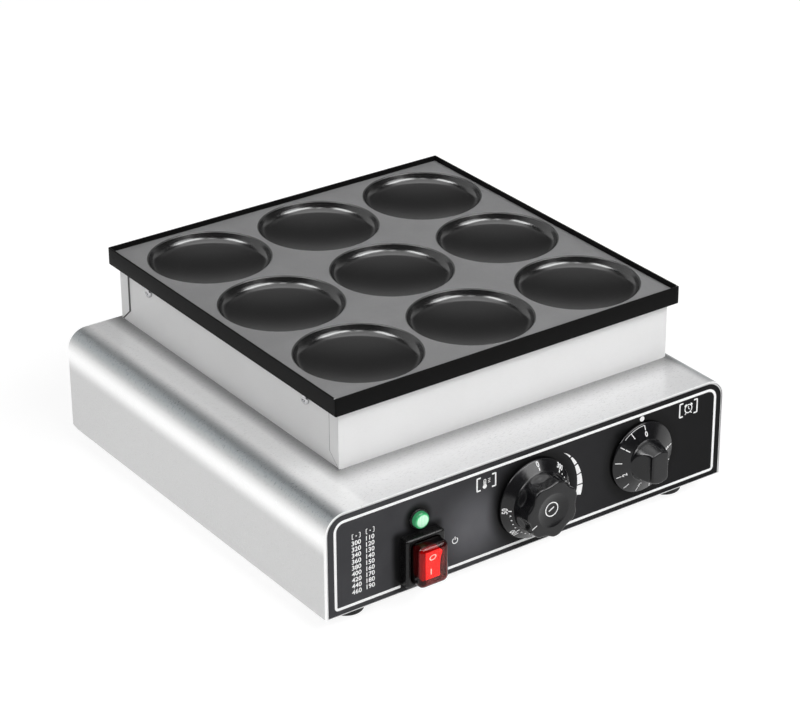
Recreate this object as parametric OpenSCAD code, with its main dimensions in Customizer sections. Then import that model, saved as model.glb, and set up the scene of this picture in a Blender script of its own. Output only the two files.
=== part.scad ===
// Mini pancake maker: a sheet steel base with a control panel, a square
// housing on it and a cast griddle plate with nine round hollows.
// Millimetres, +Z up, the front faces -Y. The origin is on the table,
// under the middle of the base casing.

/* [Base casing] */
// Width of the base casing across its two sides
casing_w = 342; // [336:1:380]
// Depth of the base casing from front to back
casing_d = 336; // [332:1:380]
// Height of the base casing without its feet
casing_h = 78; // [76:1:110]
// Outside bend radius of the casing's two top edges
bend_r = 15; // [8:0.5:16]
// Thickness of the steel sheet
sheet_t = 1; // [0.8:0.1:1.3]
// Width of the flanges bent inwards along the bottom edges
flange_w = 12; // [9:0.5:13]
// Length of the small relief cut at the sides' lower back corners
relief_len = 7; // [4:0.5:9]
// Height of the small relief cut at the sides' lower back corners
relief_h = 1.5; // [1:0.1:3]
// Seam between the casing and the panels inside its ends
seam = 0.3; // [0.1:0.05:0.5]
// Distance between the base screws along a side
base_screw_pitch = 100; // [80:1:120]

/* [Feet] */
// Height of the rubber feet below the casing
foot_h = 12.5; // [10:0.5:20]
// Radius of a rubber foot
foot_r = 13; // [10:0.5:14]
// Distance of the feet's middle from the casing's sides
foot_side = 32; // [29:1:60]
// Distance of the feet's middle from the casing's front and back
foot_inset = 24; // [24:1:60]

/* [Panels] */
// Thickness of the front and rear panels
panel_t = 1.2; // [1:0.1:1.5]
// Thickness of the printed label on the front panel
label_t = 0.5; // [0.3:0.1:0.8]
// Bare edge of the front panel round the label
label_edge = 1; // [0.3:0.1:2]
// Thickness of the printed lines on the label
print_t = 0.1; // [0.08:0.01:0.15]
// Distance of the border line from the label's two ends
border_inset = 4.5; // [3:0.5:6]
// Distance of the border line from the label's top and bottom
border_inset_z = 3.6; // [3:0.1:6]
// Width of the border line
border_w = 2; // [1:0.1:3]
// Number of vent slots in a group
vent_n = 9; // [4:1:10]
// Distance between vent slots
vent_pitch = 8; // [7:0.5:9]
// Width of a vent slot
vent_w = 3; // [2:0.5:4]
// Length of a vent slot
vent_len = 30; // [20:1:36]

/* [Housing] */
// Side length of the square housing under the griddle plate
housing_w = 283.5; // [280:0.5:284]
// Height of the housing between the casing and the griddle plate
housing_h = 43.5; // [42:0.5:60]
// Shift of the housing to the right of the casing's middle
housing_x = 15; // [8:1:16]
// Shift of the housing to the back of the casing's middle
housing_y = 22; // [14:1:24]
// Width of the corner laps of the front and rear housing plates
lap_w = 11; // [8:0.5:14]
// Length of the slanted cut at the foot of a corner lap
lap_cut = 10; // [6:0.5:16]
// Distance between the two base screws on a side of the housing
housing_screw_pitch = 160; // [120:1:200]

/* [Griddle plate] */
// Side length of the griddle plate
plate_w = 295; // [292:0.5:300]
// Height of the plate's outer edge
edge_h = 13.5; // [11:0.5:16]
// Height of the rim above the cooking surface
rim_h = 3.5; // [1.5:0.5:4]
// Width of the rim's top
rim_w = 1.5; // [1:0.1:2]
// Drop of the plate's core into the housing
core_drop = 4; // [3.5:0.5:8]
// Clearance between the core and the housing's walls
core_gap = 0.5; // [0.3:0.1:1.5]
// Diameter of a hollow at the cooking surface
hollow_d = 90; // [84:0.5:91]
// Distance between the middles of two hollows
hollow_pitch = 95; // [94:0.5:96]
// Shift of the hollows to the right of the plate's middle
hollow_x = 3; // [0:0.5:4]
// Shift of the hollows to the back of the plate's middle
hollow_y = 1.5; // [0:0.5:4]
// Depth of a hollow in its middle
hollow_depth = 10.5; // [8:0.5:11]
// Depth of the hollow's steep wall
wall_depth = 5.5; // [4:0.5:6]
// How far the hollow's steep wall leans in
wall_lean = 3; // [1:0.5:5]
// Size of the bevel round a hollow's mouth
mouth_bevel = 0.6; // [0.2:0.1:0.8]
// Distance of the side screws from the plate's middle
side_screw_y = 102; // [96:1:110]
// Distance of the side screws below the plate's edge
side_screw_drop = 7; // [6:0.5:8]

/* [Heater] */
// Radius of the heating tube
tube_r = 4; // [3:0.25:4.5]
// Half length of the heating tube's straight runs
tube_run = 94; // [80:1:96]
// Bend radius where the tube turns down to its ends
tube_drop_r = 10; // [8:0.5:12]
// Thickness of the clamp bars
bar_t = 3; // [2:0.5:4]
// Width of the clamp bars
bar_w = 16; // [12:1:18]
// Radius of the plate's studs
stud_r = 3; // [2.5:0.25:3]
// Thickness of the insulation pad on the casing
pad_t = 16; // [12:1:16]
// Thickness of the heat shield
shield_t = 0.8; // [0.6:0.1:1.2]
// Radius of the temperature sensor's bulb
bulb_r = 3; // [2:0.25:3.25]
// Length of the sensor's bulb
bulb_len = 60; // [40:1:62]
// Radius of the sensor's capillary tube
capillary_r = 0.9; // [0.7:0.1:1.5]

/* [Controls] */
// Thermostat knob, distance right of the casing's middle
thermostat_x = 0.3; // [-6:0.1:4]
// Thermostat knob, height above the casing's bottom
thermostat_z = 36.9; // [35:0.1:40]
// Timer knob, distance right of the casing's middle
timer_x = 95.8; // [88:0.1:104]
// Timer knob, height above the casing's bottom
timer_z = 38.1; // [34:0.1:42]
// Switch, distance left of the casing's middle
switch_x = 95.4; // [88:0.1:110]
// Switch, height above the casing's bottom
switch_z = 24.9; // [23:0.1:26]
// Indicator lamp, distance left of the casing's middle
lamp_x = 97; // [88:0.1:110]
// Indicator lamp, height above the casing's bottom
lamp_z = 54; // [54:0.1:58]
// Radius of the shafts of the thermostat and the timer
shaft_r = 3; // [2.5:0.25:3.5]
// Running clearance of a shaft in its bush
shaft_fit = 0.05; // [0.02:0.01:0.08]
// Free space between a knob and the label
knob_gap = 0.8; // [0.5:0.1:1.5]

/* [Thermostat knob] */
// Radius of the skirt
thermo_skirt_r = 30; // [27:0.5:31]
// Height of the skirt's cone
thermo_skirt_h = 7; // [6:0.5:9]
// Radius of the fluted grip
thermo_grip_r = 21.5; // [18:0.5:22]
// Height of the fluted grip
thermo_grip_h = 15; // [12:0.5:18]
// Number of flutes round the grip
flute_n = 7; // [6:1:10]
// Radius of a flute's scoop
flute_r = 14; // [8:0.5:16]
// Depth of a flute
flute_depth = 2.6; // [1:0.1:3]
// Radius of the dished face
dish_r = 12.5; // [10:0.5:15]
// Depth of the dished face
dish_depth = 1.6; // [1:0.1:2.5]

/* [Timer knob] */
// Radius of the skirt
timer_skirt_r = 27; // [25:0.5:28]
// Height of the skirt's cone
timer_skirt_h = 6; // [5:0.5:9]
// Radius of the skirt's flat top
timer_top_r = 15.5; // [15:0.5:22]
// Thickness of the bar grip
grip_t = 14; // [12:0.5:16]
// Length of the bar grip
grip_len = 25; // [24:0.5:37]
// Height of the bar grip above the skirt
grip_h = 15; // [12:0.5:18]
// Size of the bevels on the bar grip
grip_bevel = 2; // [1:0.25:3]

/* [Switch and lamp] */
// Width of the switch's base
base_w = 31.6; // [31:0.1:34]
// Height of the switch's base
base_l = 36.8; // [36:0.1:38]
// Height of the switch's base in front of the label
base_proud = 9; // [8:0.5:10]
// Width of the sealing boot
boot_w = 24; // [23:0.25:25]
// Height of the sealing boot
boot_l = 31; // [30:0.25:32]
// Distance of the boot's face in front of the base
boot_proud = 10; // [10:0.25:12]
// Wall thickness of the boot
boot_t = 1; // [0.8:0.1:1.3]
// Width of the rocker
rocker_w = 15; // [13:0.5:16]
// Length of the rocker
rocker_l = 21; // [19:0.5:22]
// Angle of the rocker to either side of its middle
rocker_tilt = 8; // [6:0.5:9]
// Radius of the rocker's pivot pins
pin_r = 1.5; // [1:0.1:2]
// Radius of the lamp's bezel
bezel_r = 8; // [7.5:0.1:8.5]
// Radius of the lamp's lens
lens_r = 6.6; // [5.5:0.1:6.8]
// Height of the lens in front of the bezel
lens_h = 5; // [3:0.5:7]

/* [Cord inlet] */
// Distance of the cord gland right of the casing's middle
gland_x = 110; // [96:1:124]
// Height of the cord gland above the casing's bottom
gland_z = 30; // [24:1:40]
// Radius of the gland's bore for the cord
gland_bore_r = 4.5; // [3.5:0.25:5]
// Radius of the gland's thread
gland_thread_r = 8; // [7.5:0.25:8.5]
// Size across the corners of the gland's hexagons
gland_hex_d = 24; // [22:0.5:26]

/* [Hidden] */
$fn = 64;

// Levels from the table upwards
z_base = foot_h;
z_top = foot_h + casing_h;
z_edge = z_top + housing_h;
z_rim = z_edge + edge_h;
z_cook = z_rim - rim_h;
z_core = z_edge - core_drop;
z_tube = z_core - tube_r;
z_bar = z_core - 2 * tube_r;
z_floor = z_base + 2 * sheet_t;
z_shield = z_top + pad_t;
z_side_screw = z_edge - side_screw_drop;

// Planes from the front backwards
y_front = -casing_d / 2;
y_back = casing_d / 2;
y_label = y_front + label_t;
y_panel = y_label + panel_t;

// Sheet metal
wrap_in_w = casing_w - 2 * sheet_t;
wrap_in_h = casing_h - sheet_t;
wrap_in_r = bend_r - sheet_t;
panel_w = wrap_in_w - 2 * seam;
panel_h = wrap_in_h - seam;
panel_r = wrap_in_r - seam;
label_w = panel_w - 2 * label_edge;
label_h = panel_h - 2 * label_edge;
label_r = panel_r - label_edge;
floor_w = panel_w - 2 * sheet_t - 2 * seam;
floor_y0 = y_panel + seam;
floor_y1 = y_back - panel_t - seam;
housing_in = housing_w / 2 - 2 * sheet_t;
housing_flange = 11;
pad_gap = 2;
pad_half = housing_in - housing_flange - pad_gap;
vent_group_x = 85.5;
cut = 1;

// Fasteners: radius of the shank, the head and the head's height
screw_fit = 0.05;
small_r = 1.5;
small_head_r = 3;
small_head_h = 2;
housing_screw_in = 7;
base_screw_len = 5;
end_screw_x = 80;
side_r = 2;
side_head_r = 3.4;
side_head_h = 2.4;
side_grip = 8;
foot_screw_r = 2.5;
foot_head_r = 4.5;
foot_head_h = 3;
foot_bore_h = 6;
foot_bevel = 1;
foot_boss_r = 8;
screw_end = 1;
nut_h = 5;
m6_corner_r = 5.77;
m5_corner_r = 4.6;
m5_nut_h = 4;

// Under the griddle plate
run_pitch = hollow_pitch / 2;
run_n = 6;
stud_xy = hollow_pitch / 2;
stud_in = 6;
stud_below = 10;
end_y = (run_n - 1) / 2 * run_pitch;
bar_half = end_y + 2 * tube_r;
lug_t = 11;
lug_w = 16;
lug_h = 9;
end_x = -tube_run - tube_drop_r;
end_room = 1.2;
end_hole_r = tube_r + end_room;
sheath_below = 6;
pin_end_r = 2;
pin_end_len = 14;
bush_h = 4;
bush_wall = 1.5;
bulb_y = -stud_xy;
capillary_step = 4;
capillary_room = 1.5;
capillary_x = -bulb_len / 2 - capillary_step;
capillary_hole_r = capillary_r + capillary_room;
clip_w = 12;
clip_half = 10;
clip_wall = 2;
clip_screw_y = bulb_y + (clip_half + bulb_r) / 2;
clip_screw_in = 4;

// Controls
control_screw = 14;
control_screw_head = 1.6;
thermo_body_w = 44;
thermo_body_h = 38;
thermo_body_d = 35;
timer_body_r = 22.5;
timer_body_d = 28;
shaft_in = 10;
shaft_hole_r = 5;
shaft_out = 12;
hub_r = 8;
hub_room = 3;
knob_hollow_r = control_screw + small_head_r + 2 * seam;
grip_ledge = 1.5;
flute_turn = 100;
flank_n = 6;
flank_power = 1.6;
terminal_step = 9.5;
thermo_z = z_base + thermostat_z;
dial_z = z_base + timer_z;
rocker_z = z_base + switch_z;
bulb_lamp_z = z_base + lamp_z;
y_skirt = y_front - knob_gap;
capillary_z = thermo_z + terminal_step;

// Switch
y_base = y_front - base_proud;
boot_seat = 4.5;
y_seat = y_base + boot_seat;
y_boot = y_base - boot_proud;
pivot_in = 3;
y_pivot = y_seat + pivot_in;
boot_taper = 1;
boot_corner = 4;
boot_fit = 0.3;
well_fit = 0.5;
well_room = 6;
well_deep = 10;
well_l = rocker_l + well_room;
base_corner_r = 1.5;
switch_behind = 22;
body_trim = 2.3;
rocker_ends = y_pivot - (y_boot + boot_t);
rocker_face_gap = 4.6;
rocker_reach = rocker_ends - rocker_face_gap;
rocker_dish = 1.6;
rocker_root = 5;
pin_len = 2;
pin_end_gap = 0.3;
blade_w = 6.3;
blade_t = 0.8;
blade_len = 8;
blade_pitch = 9.2;

// Lamp
lamp_r = 6;
bezel_h = 1.4;
lamp_behind = 20;
lens_seat = 3;
lens_step = 1.6;
dome_h = 2;
lamp_nut_wall = 2.5;
lamp_nut_h = 3;

// Cord inlet
gland_nut_h = 6;
gland_body_h = 8;
gland_cap_h = 16;
gland_inside = 10;
gland_neck_wall = 1;
gland_neck_r = gland_thread_r - gland_neck_wall;
gland_cap_trim = 1.68;
block_step = 48;
block_back = 60;
block_w = 48;
block_d = 22;
block_h = 18;
block_x = gland_x - block_step;
block_y = y_back - block_back;
block_bay = block_w / 3;
earth_side = 35;
earth_step = 30;
earth_x = casing_w / 2 - earth_side;
earth_y = block_y - earth_step;
earth_h = 16;
// The gland reaches as far behind the casing as the knobs do in front of it
y_gland_out = y_back + knob_gap + thermo_skirt_h + thermo_grip_h;

// Printed marks: a dot above the timer and a heat scale beside the thermostat
dot_r = 2;
dot_gap = 2.4;
scale_n = 5;
scale_step = 12.4;
scale_start = 44;
scale_room = 7;
scale_in = thermo_skirt_r + scale_room;
scale_grow = 1.25;
scale_min = 1.4;
scale_part = 10.7;

// Leads: radius, levels and turning planes inside the base
lead_r = 1.3;
lead_drop = 6;
lead_turn = 12;
lead_turn_far = 16;
lead_turn_thermo = 14;
lead_turn_end = 8;
lead_side = 10;
lead_below = 4;
lead_low = z_floor + block_h / 2;
lead_high = z_top - sheath_below - bush_h - lead_drop;
y_blades = y_panel + switch_behind + blade_len;
y_thermo_back = y_panel + thermo_body_d;
y_timer_back = y_panel + timer_body_d;
end_ax = housing_x + end_x;
end_front = housing_y - end_y;
end_rear = housing_y + end_y;

// Outline of the casing seen from the front: square below, round above
module arch(w, h, r) {
  translate([-w / 2, 0]) square([w, h - r]);
  translate([-w / 2 + r, 0]) square([w - 2 * r, h]);
  for (s = [-1, 1]) translate([s * (w / 2 - r), h - r]) circle(r = r);
}

// The same outline as a slab between two depths
module arch_slab(w, h, r, y0, y1, z0) {
  translate([0, y1, z0]) rotate([90, 0, 0]) linear_extrude(height = y1 - y0) arch(w, h, r);
}

// Cylinder along Y from y0 to y1
module rod_y(r, x, z, y0, y1) {
  translate([x, y1, z]) rotate([90, 0, 0]) cylinder(r = r, h = y1 - y0);
}

// Cylinder along X from x0 to x1
module rod_x(r, y, z, x0, x1) {
  translate([x0, y, z]) rotate([0, 90, 0]) cylinder(r = r, h = x1 - x0);
}

// Cylinder along Z from z0 to z1
module rod_z(r, x, y, z0, z1) {
  translate([x, y, z0]) cylinder(r = r, h = z1 - z0);
}

// Box given by its two corners
module block(a, b) {
  translate(a) cube([b[0] - a[0], b[1] - a[1], b[2] - a[2]]);
}

// Places of what repeats
module each_base_screw() {
  for (s = [-1, 1], k = [-1, 0, 1])
    translate([s * (casing_w / 2 - flange_w / 2 - sheet_t), k * base_screw_pitch, z_base]) children();
  for (s = [-1, 1]) {
    translate([s * end_screw_x, y_panel + flange_w / 2 + sheet_t, z_base]) children();
    translate([s * end_screw_x, y_back - panel_t - flange_w / 2 - sheet_t, z_base]) children();
  }
}

module each_foot() {
  for (s = [-1, 1], t = [-1, 1])
    translate([s * (casing_w / 2 - foot_side), t * (casing_d / 2 - foot_inset), 0]) children();
}

module on_housing() {
  translate([housing_x, housing_y, 0]) children();
}

module each_housing_screw() {
  inset = housing_in - housing_flange / 2;
  on_housing() for (a = [0:3]) rotate([0, 0, 90 * a])
    for (s = [-1, 1]) translate([s * housing_screw_pitch / 2, inset, z_top]) children();
}

module each_stud() {
  on_housing() for (s = [-1, 1], t = [-1, 1]) translate([s * stud_xy, t * stud_xy, 0]) children();
}

module each_tube_end() {
  on_housing() for (t = [-1, 1]) translate([end_x, t * end_y, 0]) children();
}

module hex_nut(corner_r, hole_r, h) {
  difference() {
    cylinder(r = corner_r, h = h, $fn = 6);
    translate([0, 0, -cut]) cylinder(r = hole_r, h = h + 2 * cut);
  }
}

// Holes through everything between the heater and the base
module heater_holes(z0, z1) {
  each_stud() rod_z(stud_r + screw_fit, 0, 0, z0, z1);
  each_tube_end() rod_z(end_hole_r, 0, 0, z0, z1);
  on_housing() rod_z(capillary_hole_r, capillary_x, bulb_y, z0, z1);
}

module casing_wrapper() {
  color("silver") difference() {
    union() {
      difference() {
        arch_slab(casing_w, casing_h, bend_r, y_front, y_back, z_base);
        arch_slab(wrap_in_w, wrap_in_h + cut, wrap_in_r, y_front - cut, y_back + cut, z_base - cut);
      }
      for (s = [-1, 1]) translate([s * (casing_w - flange_w) / 2, 0, 0])
        block([-flange_w / 2, floor_y0, z_base], [flange_w / 2, floor_y1, z_base + sheet_t]);
    }
    heater_holes(z_top - sheet_t - cut, z_top + cut);
    each_housing_screw() rod_z(small_r + screw_fit, 0, 0, -housing_screw_in - cut, cut);
    each_base_screw() rod_z(small_r + screw_fit, 0, 0, -cut, sheet_t + cut);
    translate([-casing_w / 2 - cut, y_back, z_base]) rotate([90, 0, 90])
      linear_extrude(height = casing_w + 2 * cut)
        polygon([[-relief_len, 0], [-relief_len, -cut], [cut, -cut], [cut, relief_h], [0, relief_h]]);
  }
}

// A panel's flanges: one along the bottom and one up each side
module panel_flanges(y0, y1) {
  reach = casing_w / 2 - flange_w - seam;
  block([-reach, y0, z_base], [reach, y1, z_base + sheet_t]);
  for (s = [-1, 1]) translate([s * (panel_w - sheet_t) / 2, (y0 + y1) / 2, 0])
    block([-sheet_t / 2, -(y1 - y0) / 2, z_base + sheet_t + seam],
          [sheet_t / 2, (y1 - y0) / 2, z_top - bend_r]);
}

// Cut-outs for the lamp, the switch and the two shafts with their screws
module control_holes(y0, y1) {
  rod_y(lamp_r + screw_fit, -lamp_x, bulb_lamp_z, y0, y1);
  half_w = base_w / 2 - body_trim + screw_fit;
  half_l = base_l / 2 - body_trim + screw_fit;
  block([-switch_x - half_w, y0, rocker_z - half_l], [-switch_x + half_w, y1, rocker_z + half_l]);
  for (p = [[thermostat_x, thermo_z], [timer_x, dial_z]]) {
    rod_y(shaft_hole_r, p[0], p[1], y0, y1);
    for (s = [-1, 1]) rod_y(small_r + screw_fit, p[0] + s * control_screw, p[1], y0, y1);
  }
}

module front_panel() {
  color("gainsboro") difference() {
    union() {
      arch_slab(panel_w, panel_h, panel_r, y_label, y_panel, z_base);
      panel_flanges(y_panel, y_panel + flange_w);
    }
    control_holes(y_label - cut, y_panel + cut);
    each_base_screw() rod_z(small_r + screw_fit, 0, 0, -cut, sheet_t + cut);
  }
}

module panel_label() {
  color("#26262a") difference() {
    arch_slab(label_w, label_h, label_r, y_front, y_label, z_base + label_edge);
    control_holes(y_front - cut, y_label + cut);
  }
}

// Printed marks: the border line, the timer's dot and the widening heat scale
module panel_print() {
  line_w = label_w - 2 * border_inset;
  line_h = label_h - 2 * border_inset_z;
  line_r = label_r - border_inset;
  line_z = z_base + label_edge + border_inset_z;
  color("white") {
    difference() {
      arch_slab(line_w, line_h, line_r, y_front - print_t, y_front, line_z);
      arch_slab(line_w - 2 * border_w, line_h - 2 * border_w, line_r - border_w,
                y_front - print_t - cut, y_front + cut, line_z + border_w);
      block([-switch_x - base_w / 2 - seam, y_front - cut, z_base],
            [-switch_x + base_w / 2 + seam, y_front + cut, rocker_z]);
    }
    rod_y(dot_r, timer_x, dial_z + timer_skirt_r + dot_gap, y_front - print_t, y_front);
    for (k = [0:scale_n - 1]) heat_step(k);
  }
}

// One step of the heat scale: a piece of a ring, wider with each step
module heat_step(k) {
  a = scale_start - k * scale_step;
  outer = scale_in + scale_min + k * scale_grow;
  translate([thermostat_x, y_front, thermo_z]) rotate([90, 0, 0]) linear_extrude(height = print_t)
    difference() {
      intersection() {
        circle(r = outer);
        polygon([[0, 0], 2 * outer * [cos(a), sin(a)],
                 2 * outer * [cos(a - scale_part), sin(a - scale_part)]]);
      }
      circle(r = scale_in);
    }
}

module vent_row(x0) {
  for (k = [0:vent_n - 1])
    translate([x0 + (k - (vent_n - 1) / 2) * vent_pitch - vent_w / 2, 0, 0]) children();
}

module rear_panel() {
  vent_z = z_base + (panel_h - vent_len) / 2;
  color("gainsboro") difference() {
    union() {
      arch_slab(panel_w, panel_h, panel_r, y_back - panel_t, y_back, z_base);
      panel_flanges(y_back - panel_t - flange_w, y_back - panel_t);
    }
    rod_y(gland_thread_r + screw_fit, gland_x, z_base + gland_z, y_back - panel_t - cut, y_back + cut);
    for (x0 = [-vent_group_x, 0]) vent_row(x0)
      block([0, y_back - panel_t - cut, vent_z], [vent_w, y_back + cut, vent_z + vent_len]);
    each_base_screw() rod_z(small_r + screw_fit, 0, 0, -cut, sheet_t + cut);
  }
}

module bottom_plate() {
  color("gainsboro") difference() {
    block([-floor_w / 2, floor_y0, z_base + sheet_t], [floor_w / 2, floor_y1, z_floor]);
    each_base_screw() rod_z(small_r + screw_fit, 0, 0, 0, 2 * sheet_t + cut);
    each_foot() rod_z(foot_screw_r + screw_fit, 0, 0, z_base, z_floor + cut);
    rod_z(foot_screw_r + screw_fit, earth_x, earth_y, z_base, z_floor + cut);
    for (x0 = [-vent_group_x, 0]) vent_row(x0)
      block([0, -vent_len / 2, z_base], [vent_w, vent_len / 2, z_floor + cut]);
  }
}

module base_screws() {
  color("silver") each_base_screw() {
    rod_z(small_head_r, 0, 0, -small_head_h, 0);
    rod_z(small_r, 0, 0, 0, base_screw_len);
  }
}

// A foot reaches under the panels' flanges, and its boss stands on the bottom plate
module rubber_feet() {
  color("#151515") each_foot() difference() {
    union() {
      cylinder(r1 = foot_r - foot_bevel, r2 = foot_r, h = foot_h / 2);
      rod_z(foot_r, 0, 0, foot_h / 2, z_base - seam);
      rod_z(foot_boss_r, 0, 0, z_base - seam, z_base + sheet_t);
    }
    rod_z(foot_head_r + seam, 0, 0, -cut, foot_bore_h);
    rod_z(foot_screw_r + screw_fit, 0, 0, 0, z_floor);
  }
}

module foot_screws() {
  color("silver") each_foot() {
    rod_z(foot_head_r, 0, 0, foot_bore_h - foot_head_h, foot_bore_h);
    rod_z(foot_screw_r, 0, 0, foot_bore_h, z_floor + m5_nut_h + screw_end);
  }
}

module foot_nuts() {
  color("silver") each_foot() translate([0, 0, z_floor])
    hex_nut(m5_corner_r, foot_screw_r + screw_fit, m5_nut_h);
}

// Front or rear plate of the housing with its laps round the two corners.
// It is drawn for the front and turned half round for the rear.
module housing_end() {
  half = housing_w / 2;
  difference() {
    union() {
      block([-half, -half, z_top], [half, -half + sheet_t, z_edge]);
      for (s = [-1, 1]) translate([s * (half - sheet_t / 2) - sheet_t / 2, 0, z_top]) rotate([90, 0, 90])
        linear_extrude(height = sheet_t)
          polygon([[-half, 0], [-half + lap_w, lap_cut], [-half + lap_w, housing_h], [-half, housing_h]]);
      block([-housing_in, -half + sheet_t, z_top],
            [housing_in, -half + 2 * sheet_t + housing_flange, z_top + sheet_t]);
    }
    for (s = [-1, 1]) rod_z(small_r + screw_fit, s * housing_screw_pitch / 2,
                            -housing_in + housing_flange / 2, z_top - cut, z_top + sheet_t + cut);
  }
}

module housing_front() {
  color("gainsboro") on_housing() housing_end();
}

module housing_rear() {
  color("gainsboro") on_housing() rotate([0, 0, 180]) housing_end();
}

// Side plate of the housing between the two end plates, drawn for the right
module housing_side() {
  half = housing_w / 2;
  along = housing_in - housing_flange - seam;
  difference() {
    union() {
      block([half - 2 * sheet_t, -half + sheet_t, z_top], [half - sheet_t, half - sheet_t, z_edge]);
      block([housing_in - housing_flange, -along + sheet_t, z_top],
            [housing_in, along - sheet_t, z_top + sheet_t]);
    }
    for (s = [-1, 1]) {
      rod_z(small_r + screw_fit, housing_in - housing_flange / 2, s * housing_screw_pitch / 2,
            z_top - cut, z_top + sheet_t + cut);
      rod_x(side_r + screw_fit, s * side_screw_y, z_side_screw, half - 3 * sheet_t, half);
    }
  }
}

module housing_left() {
  color("silver") on_housing() rotate([0, 0, 180]) housing_side();
}

module housing_right() {
  color("silver") on_housing() housing_side();
}

module housing_screws() {
  color("silver") each_housing_screw() {
    rod_z(small_head_r, 0, 0, sheet_t, sheet_t + small_head_h);
    rod_z(small_r, 0, 0, -housing_screw_in, sheet_t);
  }
}

// One hollow: a bevelled mouth, a steep wall and a shallow round floor
module hollow() {
  r0 = hollow_d / 2;
  r1 = r0 - wall_lean;
  sag = hollow_depth - wall_depth;
  ball_r = (r1 * r1 + sag * sag) / (2 * sag);
  translate([0, 0, z_cook]) {
    translate([0, 0, -mouth_bevel]) cylinder(r1 = r0, r2 = r0 + 2 * mouth_bevel, h = 2 * mouth_bevel);
    translate([0, 0, -wall_depth]) cylinder(r1 = r1, r2 = r0, h = wall_depth - mouth_bevel);
    intersection() {
      translate([0, 0, ball_r - hollow_depth]) sphere(r = ball_r, $fn = 128);
      translate([0, 0, -hollow_depth - cut]) cylinder(r = r1, h = sag + cut);
    }
  }
}

module griddle_plate() {
  core = housing_in - core_gap;
  half = plate_w / 2;
  color("#3a3a3c") on_housing() difference() {
    union() {
      block([-half, -half, z_edge], [half, half, z_rim]);
      block([-core, -core, z_core], [core, core, z_edge]);
      for (s = [-1, 1], t = [-1, 1])
        translate([s * (core - lug_t / 2), t * side_screw_y, z_core - lug_h / 2])
          cube([lug_t, lug_w, lug_h], center = true);
    }
    block([-half + rim_w, -half + rim_w, z_cook], [half - rim_w, half - rim_w, z_rim + cut]);
    for (i = [-1:1], j = [-1:1])
      translate([hollow_x + i * hollow_pitch, hollow_y + j * hollow_pitch, 0]) hollow();
    for (s = [-1, 1], t = [-1, 1]) {
      rod_z(stud_r + screw_fit, s * stud_xy, t * stud_xy, z_core - cut, z_core + stud_in);
      translate([s * (core - side_grip / 2), t * side_screw_y, z_side_screw])
        rotate([0, 90, 0]) cylinder(r = side_r + screw_fit, h = side_grip + cut, center = true);
    }
    rod_z(small_r + screw_fit, 0, clip_screw_y, z_core - cut, z_core + clip_screw_in);
  }
}

module plate_side_screws() {
  out = housing_w / 2 - sheet_t;
  color("silver") on_housing() for (s = [0, 180]) rotate([0, 0, s]) for (t = [-1, 1]) {
    rod_x(side_head_r, t * side_screw_y, z_side_screw, out, out + side_head_h);
    rod_x(side_r, t * side_screw_y, z_side_screw, out - side_grip, out);
  }
}

// Heating tube: six runs joined by half turns, its two ends bent down
module heating_element() {
  color("dimgray") on_housing() {
    for (k = [0:run_n - 1])
      rod_x(tube_r, (k - (run_n - 1) / 2) * run_pitch, z_tube, -tube_run, tube_run);
    for (k = [0:run_n - 2]) {
      side = k % 2 == 0 ? 1 : -1;
      translate([side * tube_run, (k - (run_n - 2) / 2) * run_pitch, z_tube])
        rotate([0, 0, side > 0 ? -90 : 90]) rotate_extrude(angle = 180)
          translate([run_pitch / 2, 0]) circle(r = tube_r);
    }
    for (t = [-1, 1]) {
      translate([-tube_run, t * end_y, z_tube - tube_drop_r]) rotate([90, 0, 180])
        rotate_extrude(angle = 90) translate([tube_drop_r, 0]) circle(r = tube_r);
      rod_z(tube_r, end_x, t * end_y, z_top - sheath_below, z_tube - tube_drop_r);
      rod_z(pin_end_r, end_x, t * end_y, z_top - sheath_below - pin_end_len, z_top - sheath_below);
    }
  }
}

module terminal_insulators() {
  z1 = z_top - sheath_below;
  color("ivory") each_tube_end() difference() {
    rod_z(tube_r + bush_wall, 0, 0, z1 - bush_h, z1);
    rod_z(pin_end_r + screw_fit, 0, 0, z1 - bush_h - cut, z1 + cut);
  }
}

module clamp_bars() {
  color("gray") on_housing() for (s = [-1, 1]) difference() {
    block([s * stud_xy - bar_w / 2, -bar_half, z_bar - bar_t], [s * stud_xy + bar_w / 2, bar_half, z_bar]);
    for (t = [-1, 1]) rod_z(stud_r + screw_fit, s * stud_xy, t * stud_xy, z_bar - bar_t - cut, z_bar + cut);
  }
}

module plate_studs() {
  color("silver") each_stud() rod_z(stud_r, 0, 0, z_top - sheet_t - stud_below, z_core + stud_in);
}

module stud_nuts() {
  color("silver") each_stud() for (z = [z_bar - bar_t - nut_h, z_shield + shield_t, z_top - sheet_t - nut_h])
    translate([0, 0, z]) hex_nut(m6_corner_r, stud_r + screw_fit, nut_h);
}

module heat_shield() {
  color("lightgray") difference() {
    on_housing() block([-pad_half, -pad_half, z_shield], [pad_half, pad_half, z_shield + shield_t]);
    heater_holes(z_shield - cut, z_shield + shield_t + cut);
  }
}

module insulation_pad() {
  color("#f2efe6") difference() {
    on_housing() block([-pad_half, -pad_half, z_top], [pad_half, pad_half, z_shield]);
    heater_holes(z_top - cut, z_shield + cut);
  }
}

module sensor_bulb() {
  color("#b87333") on_housing() rod_x(bulb_r, bulb_y, z_core - bulb_r, -bulb_len / 2, bulb_len / 2);
}

// Thin tube from the bulb's end down through the base to the thermostat
module capillary_tube() {
  x = housing_x + capillary_x;
  y = housing_y + bulb_y;
  z = z_core - bulb_r;
  color("#b87333") {
    rod_x(capillary_r, y, z, x - capillary_r, housing_x - bulb_len / 2);
    rod_z(capillary_r, x, y, capillary_z - capillary_r, z);
    rod_y(capillary_r, x, capillary_z, y_panel + thermo_body_d, y);
  }
}

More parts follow.
